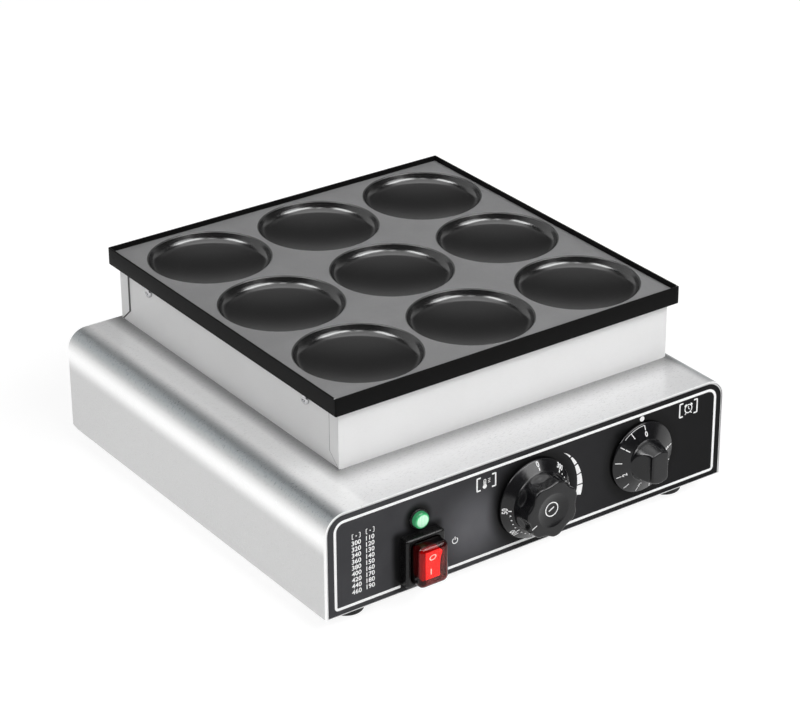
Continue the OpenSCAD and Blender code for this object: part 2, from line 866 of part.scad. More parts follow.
module sensor_clip() {
  low = z_core - 2 * bulb_r - clip_wall;
  color("silver") on_housing() difference() {
    block([-clip_w / 2, bulb_y - clip_half, low], [clip_w / 2, bulb_y + clip_half, z_core]);
    rod_x(bulb_r + screw_fit, bulb_y, z_core - bulb_r, -clip_w, clip_w);
    block([-clip_w, bulb_y - bulb_r - screw_fit, z_core - bulb_r],
          [clip_w, bulb_y + bulb_r + screw_fit, z_core + cut]);
    rod_z(small_r + screw_fit, 0, clip_screw_y, low - cut, z_core + cut);
  }
}

module sensor_clip_screw() {
  low = z_core - 2 * bulb_r - clip_wall;
  color("silver") on_housing() {
    rod_z(small_head_r, 0, clip_screw_y, low - small_head_h, low);
    rod_z(small_r, 0, clip_screw_y, low, z_core + clip_screw_in);
  }
}

module thermostat_body() {
  color("#c9c2ae") difference() {
    translate([thermostat_x - thermo_body_w / 2, y_panel, thermo_z - thermo_body_h / 2])
      cube([thermo_body_w, thermo_body_d, thermo_body_h]);
    rod_y(shaft_r + shaft_fit, thermostat_x, thermo_z, y_panel - cut, y_panel + shaft_in);
    for (s = [-1, 1])
      rod_y(small_r + screw_fit, thermostat_x + s * control_screw, thermo_z,
            y_panel - cut, y_panel + shaft_in);
  }
}

// The two screws that hold a control behind the panel
module control_screws(x, z) {
  for (s = [-1, 1]) {
    rod_y(small_head_r, x + s * control_screw, z, y_front - control_screw_head, y_front);
    rod_y(small_r, x + s * control_screw, z, y_front, y_panel + shaft_in);
  }
}

module thermostat_screws() {
  color("silver") control_screws(thermostat_x, thermo_z);
}

module control_shaft(x, z) {
  rod_y(shaft_r, x, z, y_front - shaft_out, y_panel + shaft_in);
}

module thermostat_shaft() {
  color("silver") control_shaft(thermostat_x, thermo_z);
}

// Skirt with a hub for the shaft and a hollow that clears the control's screws. It is
// drawn with its axis up, its open side on the plane z = 0, and turned to face the
// front by on_panel.
module knob_skirt(r, top_r, h) {
  difference() {
    cylinder(r1 = r, r2 = top_r, h = h);
    difference() {
      translate([0, 0, -cut]) cylinder(r = knob_hollow_r, h = hub_room + cut);
      translate([0, 0, -2 * cut]) cylinder(r = hub_r, h = hub_room + 4 * cut);
    }
  }
}

module on_panel(x, z) {
  translate([x, y_skirt, z]) rotate([90, 0, 0]) children();
}

module thermostat_knob() {
  h = thermo_skirt_h + thermo_grip_h;
  dish_ball = (dish_r * dish_r + dish_depth * dish_depth) / (2 * dish_depth);
  color("#141414") on_panel(thermostat_x, thermo_z) difference() {
    union() {
      knob_skirt(thermo_skirt_r, thermo_grip_r + grip_ledge, thermo_skirt_h);
      difference() {
        rod_z(thermo_grip_r, 0, 0, thermo_skirt_h, h);
        for (k = [0:flute_n - 1]) rotate([0, 0, flute_turn + k * 360 / flute_n])
          rod_z(flute_r, thermo_grip_r + flute_r - flute_depth, 0, thermo_skirt_h, h + cut);
      }
    }
    translate([0, 0, h - dish_depth + dish_ball]) sphere(r = dish_ball, $fn = 128);
    rod_z(shaft_r, 0, 0, -cut, shaft_out - knob_gap);
  }
}

module timer_body() {
  color("#d8d8d8") difference() {
    rod_y(timer_body_r, timer_x, dial_z, y_panel, y_panel + timer_body_d);
    rod_y(shaft_r + shaft_fit, timer_x, dial_z, y_panel - cut, y_panel + shaft_in);
    for (s = [-1, 1])
      rod_y(small_r + screw_fit, timer_x + s * control_screw, dial_z, y_panel - cut, y_panel + shaft_in);
  }
}

module timer_screws() {
  color("silver") control_screws(timer_x, dial_z);
}

module timer_shaft() {
  color("silver") control_shaft(timer_x, dial_z);
}

// Bar grip, upright at rest: round at its root, with hollowed flanks that leave
// a bevelled bar at the front
module bar_grip() {
  t = grip_t / 2;
  root = timer_top_r + grip_ledge;
  reach = timer_top_r + grip_len / 2;
  flank = [for (k = [0:flank_n])
    [t + (root - t) * pow(1 - k / flank_n, flank_power), (grip_h - grip_bevel) * k / flank_n]];
  across = [for (k = [flank_n:-1:0]) [-flank[k][0], flank[k][1]]];
  intersection() {
    cylinder(r1 = timer_top_r, r2 = grip_len / 2, h = grip_h);
    translate([0, reach, 0]) rotate([90, 0, 0]) linear_extrude(height = 2 * reach)
      polygon(concat(flank, [[t - grip_bevel, grip_h], [-t + grip_bevel, grip_h]], across));
  }
}

module timer_knob() {
  color("#141414") on_panel(timer_x, dial_z) difference() {
    union() {
      knob_skirt(timer_skirt_r, timer_top_r, timer_skirt_h);
      translate([0, 0, timer_skirt_h]) bar_grip();
    }
    rod_z(shaft_r, 0, 0, -cut, shaft_out - knob_gap);
  }
}

// Round-cornered box standing along Y, from y0 back to y1
module soft_box(w, l, r, y0, y1) {
  translate([0, y1, 0]) rotate([90, 0, 0]) linear_extrude(height = y1 - y0) {
    square([w - 2 * r, l], center = true);
    square([w, l - 2 * r], center = true);
    for (s = [-1, 1], t = [-1, 1]) translate([s * (w / 2 - r), t * (l / 2 - r)]) circle(r = r);
  }
}

module at_switch() {
  translate([-switch_x, 0, rocker_z]) children();
}

module switch_base() {
  body_w = base_w - 2 * body_trim;
  body_l = base_l - 2 * body_trim;
  well_w = rocker_w + 2 * well_fit;
  color("#101010") at_switch() difference() {
    union() {
      soft_box(base_w, base_l, base_corner_r, y_base, y_front);
      block([-body_w / 2, y_front, -body_l / 2], [body_w / 2, y_panel + switch_behind, body_l / 2]);
    }
    soft_box(boot_w + 2 * boot_fit, boot_l + 2 * boot_fit, boot_corner + boot_fit, y_base - cut, y_seat);
    block([-well_w / 2, y_seat - cut, -well_l / 2], [well_w / 2, y_pivot + well_deep, well_l / 2]);
    rod_x(pin_r + shaft_fit, y_pivot, 0, -well_w / 2 - pin_len, well_w / 2 + pin_len);
  }
}

module switch_terminals() {
  y0 = y_panel + switch_behind;
  color("#c8b070") at_switch() for (t = [-1, 0, 1])
    translate([-blade_w / 2, y0, t * blade_pitch - blade_t / 2]) cube([blade_w, blade_len, blade_t]);
}

// Rocker seen from the side: a shallow V in front, a round root at the pivot
module switch_rocker() {
  half = rocker_l / 2;
  pin_half = rocker_w / 2 + well_fit + pin_len - pin_end_gap;
  color("#d01818") at_switch() translate([0, y_pivot, 0]) rotate([rocker_tilt, 0, 0]) {
    translate([-rocker_w / 2, 0, 0]) rotate([90, 0, 90]) linear_extrude(height = rocker_w)
      polygon([[rocker_root, -rocker_root], [rocker_root, rocker_root], [-rocker_root, half],
               [-rocker_reach - rocker_dish, half], [-rocker_reach, 0],
               [-rocker_reach - rocker_dish, -half], [-rocker_root, -half]]);
    rod_x(pin_r, 0, 0, -pin_half, pin_half);
  }
}

// Sealing boot: a closed cap over the rocker, its foot seated in the base
module switch_boot() {
  color([0.75, 0.05, 0.05, 0.6]) at_switch() difference() {
    union() {
      soft_box(boot_w, boot_l, boot_corner, y_boot + 2 * boot_taper, y_seat);
      soft_box(boot_w - 2 * boot_taper, boot_l - 2 * boot_taper, boot_corner, y_boot, y_seat);
    }
    soft_box(boot_w - 2 * boot_t - 2 * boot_taper, boot_l - 2 * boot_t - 2 * boot_taper, boot_corner - boot_t,
             y_boot + boot_t, y_seat + cut);
  }
}

module lamp_bezel() {
  color("#101010") difference() {
    union() {
      rod_y(bezel_r, -lamp_x, bulb_lamp_z, y_front - bezel_h, y_front);
      rod_y(lamp_r, -lamp_x, bulb_lamp_z, y_front, y_panel + lamp_behind);
    }
    rod_y(lens_r - lens_step, -lamp_x, bulb_lamp_z, y_front - bezel_h - cut, y_front + lens_seat);
  }
}

// Lens: a stepped cap with a domed face
module lamp_lens() {
  ball = (lens_r * lens_r + dome_h * dome_h) / (2 * dome_h);
  y_face = y_front - bezel_h;
  color([0.2, 0.8, 0.45, 0.7]) {
    rod_y(lens_r - lens_step - screw_fit, -lamp_x, bulb_lamp_z, y_face, y_front + lens_seat);
    rod_y(lens_r, -lamp_x, bulb_lamp_z, y_face - lens_h + dome_h, y_face);
    intersection() {
      translate([-lamp_x, y_face - lens_h + ball, bulb_lamp_z]) sphere(r = ball, $fn = 96);
      rod_y(lens_r, -lamp_x, bulb_lamp_z, y_face - lens_h - cut, y_face - lens_h + dome_h);
    }
  }
}

module lamp_nut() {
  color("#202020") translate([-lamp_x, y_panel, bulb_lamp_z]) rotate([-90, 0, 0])
    hex_nut(lamp_r + lamp_nut_wall, lamp_r + screw_fit, lamp_nut_h);
}

module terminal_block() {
  color("#e8e4d8") difference() {
    block([block_x - block_w / 2, block_y - block_d / 2, z_floor],
          [block_x + block_w / 2, block_y + block_d / 2, z_floor + block_h]);
    for (k = [-1:1]) rod_z(small_r + screw_fit, block_x + k * block_bay, block_y, z_floor + block_h / 2,
                           z_floor + block_h + cut);
  }
}

module terminal_screws() {
  top = z_floor + block_h;
  color("silver") for (k = [-1:1]) {
    rod_z(small_head_r, block_x + k * block_bay, block_y, top, top + small_head_h);
    rod_z(small_r, block_x + k * block_bay, block_y, top - block_h / 2 + screw_end, top);
  }
}

module earth_stud() {
  color("#c8b070") {
    rod_z(foot_head_r, earth_x, earth_y, z_base + sheet_t - foot_head_h / 2, z_base + sheet_t);
    rod_z(foot_screw_r, earth_x, earth_y, z_base + sheet_t, z_floor + earth_h);
    translate([earth_x, earth_y, z_floor]) cylinder(r = m5_corner_r, h = m5_nut_h, $fn = 6);
  }
}

// Threaded body of the gland with its hexagon outside the rear panel
module cord_gland() {
  z = z_base + gland_z;
  color("#151515") difference() {
    union() {
      rod_y(gland_thread_r, gland_x, z, y_back - panel_t - gland_inside, y_back);
      translate([gland_x, y_back, z]) rotate([-90, 0, 0])
        cylinder(d = gland_hex_d, h = gland_body_h, $fn = 6);
      rod_y(gland_neck_r, gland_x, z, y_back, y_back + gland_cap_h);
    }
    rod_y(gland_bore_r, gland_x, z, y_back - panel_t - gland_inside - cut, y_back + gland_cap_h + cut);
  }
}

// Domed cap that squeezes the seal round the cord
module gland_cap() {
  z = z_base + gland_z;
  len = y_gland_out - y_back - gland_body_h;
  dome_r = gland_hex_d / 2 - gland_cap_trim;
  color("#151515") translate([gland_x, y_back + gland_body_h, z]) rotate([-90, 0, 0]) difference() {
    union() {
      cylinder(d = gland_hex_d, h = len / 2, $fn = 6);
      translate([0, 0, len / 2]) cylinder(r1 = dome_r, r2 = gland_neck_r, h = len / 2);
    }
    translate([0, 0, -cut]) cylinder(r = gland_neck_r + screw_fit, h = gland_cap_h - gland_body_h + cut);
    translate([0, 0, -cut]) cylinder(r = gland_bore_r, h = len + 2 * cut);
  }
}

module gland_locknut() {
  color("#151515") translate([gland_x, y_back - panel_t - gland_nut_h, z_base + gland_z]) rotate([-90, 0, 0])
    hex_nut(gland_hex_d / 2, gland_thread_r + screw_fit, gland_nut_h);
}

// Insulated lead through square-cornered points, each leg along one axis
module lead(points) {
  for (k = [0:len(points) - 2]) {
    a = points[k];
    b = points[k + 1];
    low = [min(a[0], b[0]), min(a[1], b[1]), min(a[2], b[2])];
    high = [max(a[0], b[0]), max(a[1], b[1]), max(a[2], b[2])];
    first = k == 0 ? a : undef;
    last = k == len(points) - 2 ? b : undef;
    e0 = (low == first || low == last) ? 0 : lead_r;
    e1 = (high == first || high == last) ? 0 : lead_r;
    if (a[0] != b[0]) rod_x(lead_r, a[1], a[2], low[0] - e0, high[0] + e1);
    if (a[1] != b[1]) rod_y(lead_r, a[0], a[2], low[1] - e0, high[1] + e1);
    if (a[2] != b[2]) rod_z(lead_r, a[0], a[1], low[2] - e0, high[2] + e1);
  }
}

// From the block to the switch, on to the thermostat and the timer, and up to the heater
module live_leads() {
  x_block = block_x - block_bay;
  z_mid = thermo_z - terminal_step;
  z_dial = dial_z + lead_side;
  low_blade = rocker_z - blade_pitch;
  top_blade = rocker_z + blade_pitch;
  x_in = thermostat_x - lead_side;
  x_out = thermostat_x + lead_side;
  y_turn = end_front - lead_turn_end;
  color("saddlebrown") {
    lead([[x_block, block_y - block_d / 2, lead_low], [x_block, 0, lead_low], [-switch_x, 0, lead_low],
          [-switch_x, y_blades + lead_turn, lead_low], [-switch_x, y_blades + lead_turn, low_blade],
          [-switch_x, y_blades, low_blade]]);
    lead([[-switch_x, y_blades, top_blade], [-switch_x, y_blades + lead_turn_far, top_blade],
          [x_in, y_blades + lead_turn_far, top_blade], [x_in, y_thermo_back, top_blade]]);
    lead([[x_out, y_thermo_back, z_mid], [x_out, y_thermo_back + lead_turn_thermo, z_mid],
          [timer_x, y_thermo_back + lead_turn_thermo, z_mid], [timer_x, y_timer_back, z_mid]]);
    lead([[timer_x, y_timer_back, z_dial], [timer_x, y_turn, z_dial], [timer_x, y_turn, lead_high],
          [end_ax, y_turn, lead_high], [end_ax, end_front - pin_end_r, lead_high]]);
  }
}

// From the heater's rear end down to the top of the block, behind its screw
module neutral_leads() {
  x = block_x + block_bay;
  y = block_y + block_d / 2 - 2 * lead_r;
  color("steelblue") lead([[end_ax, end_rear - pin_end_r, lead_high], [end_ax, y, lead_high],
                           [x, y, lead_high], [x, y, z_floor + block_h]]);
}

module earth_lead() {
  z = z_floor + earth_h - lead_below;
  color("olivedrab") lead([[earth_x, earth_y + foot_screw_r, z], [earth_x, block_y, z],
                           [block_x + block_w / 2, block_y, z]]);
}

casing_wrapper();
front_panel();
panel_label();
panel_print();
rear_panel();
bottom_plate();
base_screws();
rubber_feet();
foot_screws();
foot_nuts();
housing_front();
housing_rear();
housing_left();
housing_right();
housing_screws();
griddle_plate();
plate_side_screws();
heating_element();
terminal_insulators();
clamp_bars();
plate_studs();
stud_nuts();
heat_shield();
insulation_pad();
sensor_bulb();
capillary_tube();
sensor_clip();
sensor_clip_screw();
thermostat_body();
thermostat_screws();
thermostat_shaft();
thermostat_knob();
timer_body();
timer_screws();
timer_shaft();
timer_knob();
switch_base();
switch_terminals();
switch_rocker();
switch_boot();
lamp_bezel();
lamp_lens();
lamp_nut();
terminal_block();
terminal_screws();
earth_stud();
cord_gland();
gland_cap();
gland_locknut();
live_leads();
neutral_leads();
earth_lead();
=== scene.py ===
"""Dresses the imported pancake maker: cast griddle, knobs, sealed switch, lamp, marks, finishes and studio."""

import math
from types import SimpleNamespace

import bmesh
import bpy
import numpy as np
from bpy.props import FloatProperty, FloatVectorProperty, IntProperty, PointerProperty
from mathutils import Matrix, Vector


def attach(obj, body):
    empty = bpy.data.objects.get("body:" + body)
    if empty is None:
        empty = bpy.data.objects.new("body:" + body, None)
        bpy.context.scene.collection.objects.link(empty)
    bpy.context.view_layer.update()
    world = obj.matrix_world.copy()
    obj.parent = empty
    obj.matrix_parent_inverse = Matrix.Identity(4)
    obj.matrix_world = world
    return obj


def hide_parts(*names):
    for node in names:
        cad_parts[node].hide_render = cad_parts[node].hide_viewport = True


bl_info = {
    "name": "Mini pancake maker",
    "version": (1, 0, 0),
    "blender": (4, 5, 0),
    "location": "3D View > Sidebar > Pancake maker",
    "description": "Dresses the packed pancake maker with castings, knobs, marks, finishes and a studio",
    "category": "Object",
}

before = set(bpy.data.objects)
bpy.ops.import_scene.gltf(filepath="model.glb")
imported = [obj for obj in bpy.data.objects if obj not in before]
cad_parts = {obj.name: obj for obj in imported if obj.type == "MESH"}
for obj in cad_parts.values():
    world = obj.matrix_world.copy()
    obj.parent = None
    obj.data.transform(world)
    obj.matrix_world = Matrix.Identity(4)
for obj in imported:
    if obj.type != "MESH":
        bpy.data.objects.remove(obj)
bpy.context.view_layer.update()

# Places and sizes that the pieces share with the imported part, in millimetres
PLATE_CENTRE = (15.0, 22.0)
HOLLOW_SHIFT = (3.0, 1.5)
COOK_Z = 144.0
CORE_HALF = 139.25
EDGE_DROP, CORE_DROP, LUG_DROP = 10.0, 14.0, 23.0
SIDE_SCREW_Y, SIDE_SCREW_Z = 102.0, 127.0
SIDE_PLATE_X = 140.75
CASING_HALF, CASING_TOP, BEND = 171.0, 90.5, 15.0
UNDERSIDE_Z = 12.5
BACK_Y = 168.0
LABEL_Y = -168.0
SKIRT_BACK = 0.8
THERMOSTAT = (0.3, 49.4)
TIMER = (95.8, 50.6)
SWITCH = (-95.4, 37.4)
LAMP, LAMP_SHADE = (-96.5, 65.9), (-97.0, 66.5)
INLET = (110.0, 42.5)
FEET = (139.0, 144.0)

# How thick printed marks stand on the label and on the knobs, in millimetres
LABEL_INK, DIAL_INK = 0.1, 0.06


# Grids, outlines and meshes

def grid_faces(rows, columns, round_rows):
    """Quads that join each grid point to its next row and column. Columns close round, and rows may."""
    i, j = np.meshgrid(np.arange(rows if round_rows else rows - 1), np.arange(columns), indexing="ij")
    down, along = (i + 1) % rows, (j + 1) % columns
    corners = [i * columns + j, i * columns + along, down * columns + along, down * columns + j]
    return np.stack(corners, -1).reshape(-1, 4)


def skin(grid, finish=0, round_rows=False):
    """A grid of points as a patch: flat points, their quads and the number of the finish."""
    grid = np.asarray(grid, float)
    return grid.reshape(-1, 3), grid_faces(grid.shape[0], grid.shape[1], round_rows), finish


def rounded(corners, radii, steps):
    """A polyline whose inner corners turn on arcs. Each arc starts radius / tan(half angle) from its corner,
    and its centre is radius / sin(half angle) away on the line that halves the angle."""
    corners = np.asarray(corners, float)
    parts = [corners[:1]]
    for before, corner, after, radius in zip(corners, corners[1:], corners[2:], radii):
        if radius == 0:
            parts.append(corner[None])
            continue
        a = (before - corner) / np.linalg.norm(before - corner)
        b = (after - corner) / np.linalg.norm(after - corner)
        half = math.acos(float(np.clip(a @ b, -1, 1))) / 2
        reach = radius / math.tan(half)
        centre = corner + (a + b) / np.linalg.norm(a + b) * radius / math.sin(half)
        turn = math.pi - 2 * half
        t = np.linspace(0, 1, steps + 1)[:, None]
        start, end = corner + a * reach - centre, corner + b * reach - centre
        parts.append(centre + (np.sin((1 - t) * turn) * start + np.sin(t * turn) * end) / math.sin(turn))
    parts.append(corners[-1:])
    return np.concatenate(parts)


def round_box(half_u, half_v, corner, side=6, arc=6):
    """Rectangle with round corners, walked counter-clockwise: at each corner an arc round a centre that lies
    the corner's radius inside, then points spread evenly along the straight side."""
    quarter = np.linspace(0, np.pi / 2, arc + 1)
    angle = quarter + np.arange(4)[:, None] * np.pi / 2
    centre = np.array([[1, 1], [-1, 1], [-1, -1], [1, -1]]) * (half_u - corner, half_v - corner)
    arcs = centre[:, None] + corner * np.stack([np.cos(angle), np.sin(angle)], -1)
    t = np.linspace(0, 1, side + 1)[1:-1, None]
    sides = arcs[:, -1:] * (1 - t) + np.roll(arcs[:, :1], -1, 0) * t
    return np.concatenate([arcs, sides], 1).reshape(-1, 2)


def revolve(profile, segments):
    """Profile points (radius, height) turned round the axis by a: u = radius cos a, v = radius sin a."""
    profile = np.asarray(profile, float)
    a = np.arange(segments) * 2 * np.pi / segments
    r, w = profile[:, :1], np.broadcast_to(profile[:, 1:], (len(profile), segments))
    return np.stack([r * np.cos(a), r * np.sin(a), w], -1)


def level(outline, height):
    """A flat outline as one row of points at a height."""
    return np.column_stack([outline, np.full(len(outline), float(height))])


def polar(radius, angle, height):
    """One row of points: u = radius cos angle, v = radius sin angle, at a height."""
    radius = np.broadcast_to(radius, angle.shape)
    return level(np.stack([radius * np.cos(angle), radius * np.sin(angle)], 1), height)


def loft(sections):
    """Rows of points: each (outline, height) pair gives its outline at that height."""
    return np.stack([level(outline, height) for outline, height in sections])


def ribbon(path, width, low, high, closed=False):
    """Flat band along a path: each point steps half the width to both sides of the path's tangent, at two
    heights. An open band ends in a pole at each end."""
    path = np.asarray(path, float)
    if closed:
        tangent = np.roll(path, -1, 0) - np.roll(path, 1, 0)
    else:
        tangent = np.gradient(path, axis=0)
    tangent /= np.linalg.norm(tangent, axis=1)[:, None]
    side = np.stack([-tangent[:, 1], tangent[:, 0]], 1) * np.broadcast_to(width, len(path))[:, None] / 2
    left, right = path + side, path - side
    rows = np.stack([level(p, h) for p, h in ((left, low), (left, high), (right, high), (right, low))], 1)
    if closed:
        return skin(rows, round_rows=True)
    first = np.repeat(rows[:1].mean(1, keepdims=True), 4, 1)
    last = np.repeat(rows[-1:].mean(1, keepdims=True), 4, 1)
    return skin(np.concatenate([first, rows, last]))


def arc_path(radius, start, stop, step=3.0):
    """Points of an arc between two angles in degrees."""
    a = np.radians(np.linspace(start, stop, max(3, int(abs(stop - start) / step) + 1)))
    return np.stack([radius * np.cos(a), radius * np.sin(a)], 1)


def disc(radius, low, high, segments=24):
    """Small flat cylinder with both ends closed."""
    return skin(revolve([(0, low), (radius, low), (radius, high), (0, high)], segments))


def points_of(mesh):
    """The vertices of a mesh as rows of points."""
    points = np.empty(len(mesh.vertices) * 3)
    mesh.vertices.foreach_get("co", points)
    return points.reshape(-1, 3)


NUMERAL_SHARE = 0.7  # height of a numeral in the plain font, as a share of the font's size


def lettering(text, height, thick, weight=0.1, widen=1.0):
    """Plain numerals as a patch centred on the origin, height tall and thick millimetres thick.
    Their outline is pushed out by the weight, and their width is multiplied."""
    curve = bpy.data.curves.new("numerals", "FONT")
    curve.body, curve.align_x, curve.align_y = text, "CENTER", "CENTER"
    curve.size, curve.resolution_u, curve.extrude, curve.offset = height / NUMERAL_SHARE, 3, 0.5, weight
    holder = bpy.data.objects.new("numerals", curve)
    bpy.context.scene.collection.objects.link(holder)
    bpy.context.view_layer.update()
    mesh = bpy.data.meshes.new_from_object(holder.evaluated_get(bpy.context.evaluated_depsgraph_get()))
    mesh.calc_loop_triangles()
    points = points_of(mesh)
    faces = np.empty(len(mesh.loop_triangles) * 3, int)
    mesh.loop_triangles.foreach_get("vertices", faces)
    bpy.data.objects.remove(holder)
    bpy.data.curves.remove(curve)
    bpy.data.meshes.remove(mesh)
    middle = (points.min(0) + points.max(0)) / 2
    points[:, :2] = (points[:, :2] - middle[:2]) * (widen, 1)
    points[:, 2] = np.where(points[:, 2] > middle[2], thick, 0.0)
    return points, faces.reshape(-1, 3), 0


def moved(patch, place):
    """The patch with its points sent through a function."""
    points, faces, finish = patch
    return place(points), faces, finish


def shifted(u, v):
    """A place function that slides a patch in its own plane."""
    return lambda p: p + (u, v, 0)


def on_front(x, z, y=LABEL_Y):
    """A place function for the front: u runs right, v up and w towards the user."""
    return lambda p: np.stack([x + p[..., 0], y - p[..., 2], z + p[..., 1]], -1)


def on_back(x, z, y):
    """A place function for the back: u runs left as seen from the front, v up and w away from the user."""
    return lambda p: np.stack([x - p[..., 0], y + p[..., 2], z + p[..., 1]], -1)


def standing(x, y, z=0.0):
    """A place function for pieces that stand upright: u, v and w run along X, Y and Z."""
    return lambda p: np.stack([x + p[..., 0], y + p[..., 1], z + p[..., 2]], -1)


def hanging(x, y, z):
    """A place function for pieces seen from below: w runs down."""
    return lambda p: np.stack([x + p[..., 0], y - p[..., 1], z - p[..., 2]], -1)


def on_side(sign, x, y, z):
    """A place function for the left (-1) or right (+1) side: w runs outwards."""
    return lambda p: np.stack([x + sign * p[..., 2], y + sign * p[..., 0], z + p[..., 1]], -1)


def around_dial(angle, radius, heights):
    """A place function for a mark on a dial: its up points away from the axis, and its height follows the
    skirt."""
    a = math.radians(angle)
    out, along = np.array([math.cos(a), math.sin(a)]), np.array([math.sin(a), -math.cos(a)])

    def place(p):
        flat = out * radius + p[:, :1] * along + p[:, 1:2] * out
        return on_skirt(heights)(np.column_stack([flat, p[:, 2]]))
    return place


def on_skirt(heights):
    """A place function that lifts a patch by the skirt's height over the distance from the axis."""
    return lambda p: np.column_stack([p[:, :2], heights(np.linalg.norm(p[:, :2], axis=1)) + p[:, 2]])


WELD = 2e-6  # metres; points nearer than this become one


def make_piece(name, patches, finishes, body, stands_for=(), crease=40.0):
    """Joins patches into one mesh in metres, welds their seams and poles, turns the faces outwards
    and lets the piece ride on a body in place of its CAD nodes."""
    faces, start = [], 0
    for points, corners, finish in patches:
        faces += (corners + start).tolist()
        start += len(points)
    mesh = bpy.data.meshes.new(name)
    all_points = np.concatenate([points for points, corners, finish in patches]) / 1000
    mesh.from_pydata(all_points.tolist(), [], faces)
    finish_of = np.concatenate([np.full(len(corners), finish) for points, corners, finish in patches])
    mesh.polygons.foreach_set("material_index", finish_of.astype(np.int32))
    shell = bmesh.new()
    shell.from_mesh(mesh)
    bmesh.ops.remove_doubles(shell, verts=shell.verts, dist=WELD)
    bmesh.ops.dissolve_degenerate(shell, edges=shell.edges, dist=WELD / 20)
    bmesh.ops.recalc_face_normals(shell, faces=shell.faces)
    shell.to_mesh(mesh)
    shell.free()
    mesh.polygons.foreach_set("use_smooth", np.ones(len(mesh.polygons), bool))
    mesh.set_sharp_from_angle(angle=math.radians(crease))
    for finish in finishes:
        mesh.materials.append(finish)
    piece = bpy.data.objects.new(name, mesh)
    bpy.context.scene.collection.objects.link(piece)
    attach(piece, body)
    if stands_for:
        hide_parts(*stands_for)
    return piece


# Finishes

class Nodes:
    """Short ways to add nodes to a node tree."""

    def __init__(self, tree):
        self.tree = tree

    def node(self, kind, *values, **inputs):
        """Adds a node and fills its inputs, in order or by name, with numbers or links."""
        made = self.tree.nodes.new(kind)
        for socket, value in zip(made.inputs, values):
            self.feed(socket, value)
        for name, value in inputs.items():
            self.feed(made.inputs[name.replace("_", " ")], value)
        return made

    def feed(self, socket, value):
        """Links an output to the socket, or sets the socket's own value."""
        if isinstance(value, bpy.types.NodeSocket):
            self.tree.links.new(value, socket)
        else:
            socket.default_value = value

    def maths(self, operation, *values):
        """A Math node on one or two values."""
        made = self.node("ShaderNodeMath", *values)
        made.operation = operation
        return made.outputs[0]

    def times(self, *values):
        """Product of two or more values."""
        product = values[0]
        for value in values[1:]:
            product = self.maths("MULTIPLY", product, value)
        return product

    def span(self, value, low, high, to_low=0.0, to_high=1.0):
        """Smooth step of a value from one range to another."""
        made = self.node("ShaderNodeMapRange", value, low, high, to_low, to_high)
        made.interpolation_type = "SMOOTHSTEP"
        return made.outputs[0]

    def near(self, value, middle):
        """Distance of a value from a middle."""
        return self.maths("ABSOLUTE", self.maths("SUBTRACT", value, middle))

    def over(self, value, limit):
        """How far a value is past a limit, and not below zero."""
        return self.maths("MAXIMUM", self.maths("SUBTRACT", value, limit), 0.0)

    def away(self, u, v):
        """Distance from a point, from its distances along two axes."""
        return self.maths("SQRT", self.maths("ADD", self.times(u, u), self.times(v, v)))


class Finish(Nodes):
    """One material: a Principled shader and the textures in front of it."""

    def __init__(self, name, colour, roughness, metallic=0.0, **sockets):
        self.material = bpy.data.materials.new(name)
        self.material.use_nodes = True
        super().__init__(self.material.node_tree)
        self.shader = self.tree.nodes["Principled BSDF"]
        self.colour = (*colour, 1.0)
        self.rough = roughness
        self.shader.inputs["Base Color"].default_value = self.colour
        self.shader.inputs["Roughness"].default_value = roughness
        self.shader.inputs["Metallic"].default_value = metallic
        for socket, value in sockets.items():
            self.shader.inputs[socket.replace("_", " ")].default_value = value
        self.place = self.node("ShaderNodeTexCoord").outputs["Object"]
        split = self.node("ShaderNodeSeparateXYZ", Vector=self.place)
        self.x, self.y, self.z = (split.outputs[k] for k in range(3))

    def from_point(self, x, z):
        """Distance in the front's plane from a point given in millimetres."""
        return self.away(self.maths("SUBTRACT", self.x, x / 1000), self.maths("SUBTRACT", self.z, z / 1000))

    def noise(self, size, stretch=(1, 1, 1), detail=3.0):
        """Noise whose spots are size millimetres across, drawn out along an axis by its stretch."""
        scale = [1000 / size / s for s in stretch]
        where = self.node("ShaderNodeMapping", Vector=self.place, Scale=scale).outputs[0]
        return self.node("ShaderNodeTexNoise", Vector=where, Scale=1.0, Detail=detail).outputs[0]

    def paint(self, factor, colour):
        """Lays a colour over the colour so far by a factor, and links the result."""
        made = self.tree.nodes.new("ShaderNodeMix")
        made.data_type = "RGBA"
        for k, value in ((0, factor), (6, self.colour), (7, (*colour, 1.0))):
            self.feed(made.inputs[k], value)
        self.colour = made.outputs[2]
        self.feed(self.shader.inputs["Base Color"], self.colour)
        return self

    def mottle(self, spots, amount):
        """Darkens the colour by up to an amount where the spots are low."""
        return self.paint(self.span(spots, 0.35, 0.65, amount, 0.0), (0, 0, 0))

    def polish(self, spots, amount):
        """Roughness that wanders by an amount to both sides."""
        rough = self.span(spots, 0.3, 0.7, self.rough - amount, self.rough + amount)
        self.feed(self.shader.inputs["Roughness"], rough)
        return self

    def relief(self, height, depth, strength):
        """Bump of a depth in millimetres."""
        bump = self.node("ShaderNodeBump", Strength=strength, Distance=depth / 1000, Height=height)
        self.feed(self.shader.inputs["Normal"], bump.outputs[0])
        return self


def brushed_steel(name, colour, roughness, stretch, metallic):
    """Sheet steel with fine drawn lines, faint cloudy patches and a shallow grain."""
    made = Finish(name, colour, roughness, metallic)
    lines = made.noise(0.35, stretch)
    made.mottle(lines, 0.015).mottle(made.noise(60), 0.02)
    made.polish(lines, 0.03).relief(lines, 0.001, 0.08)
    return made


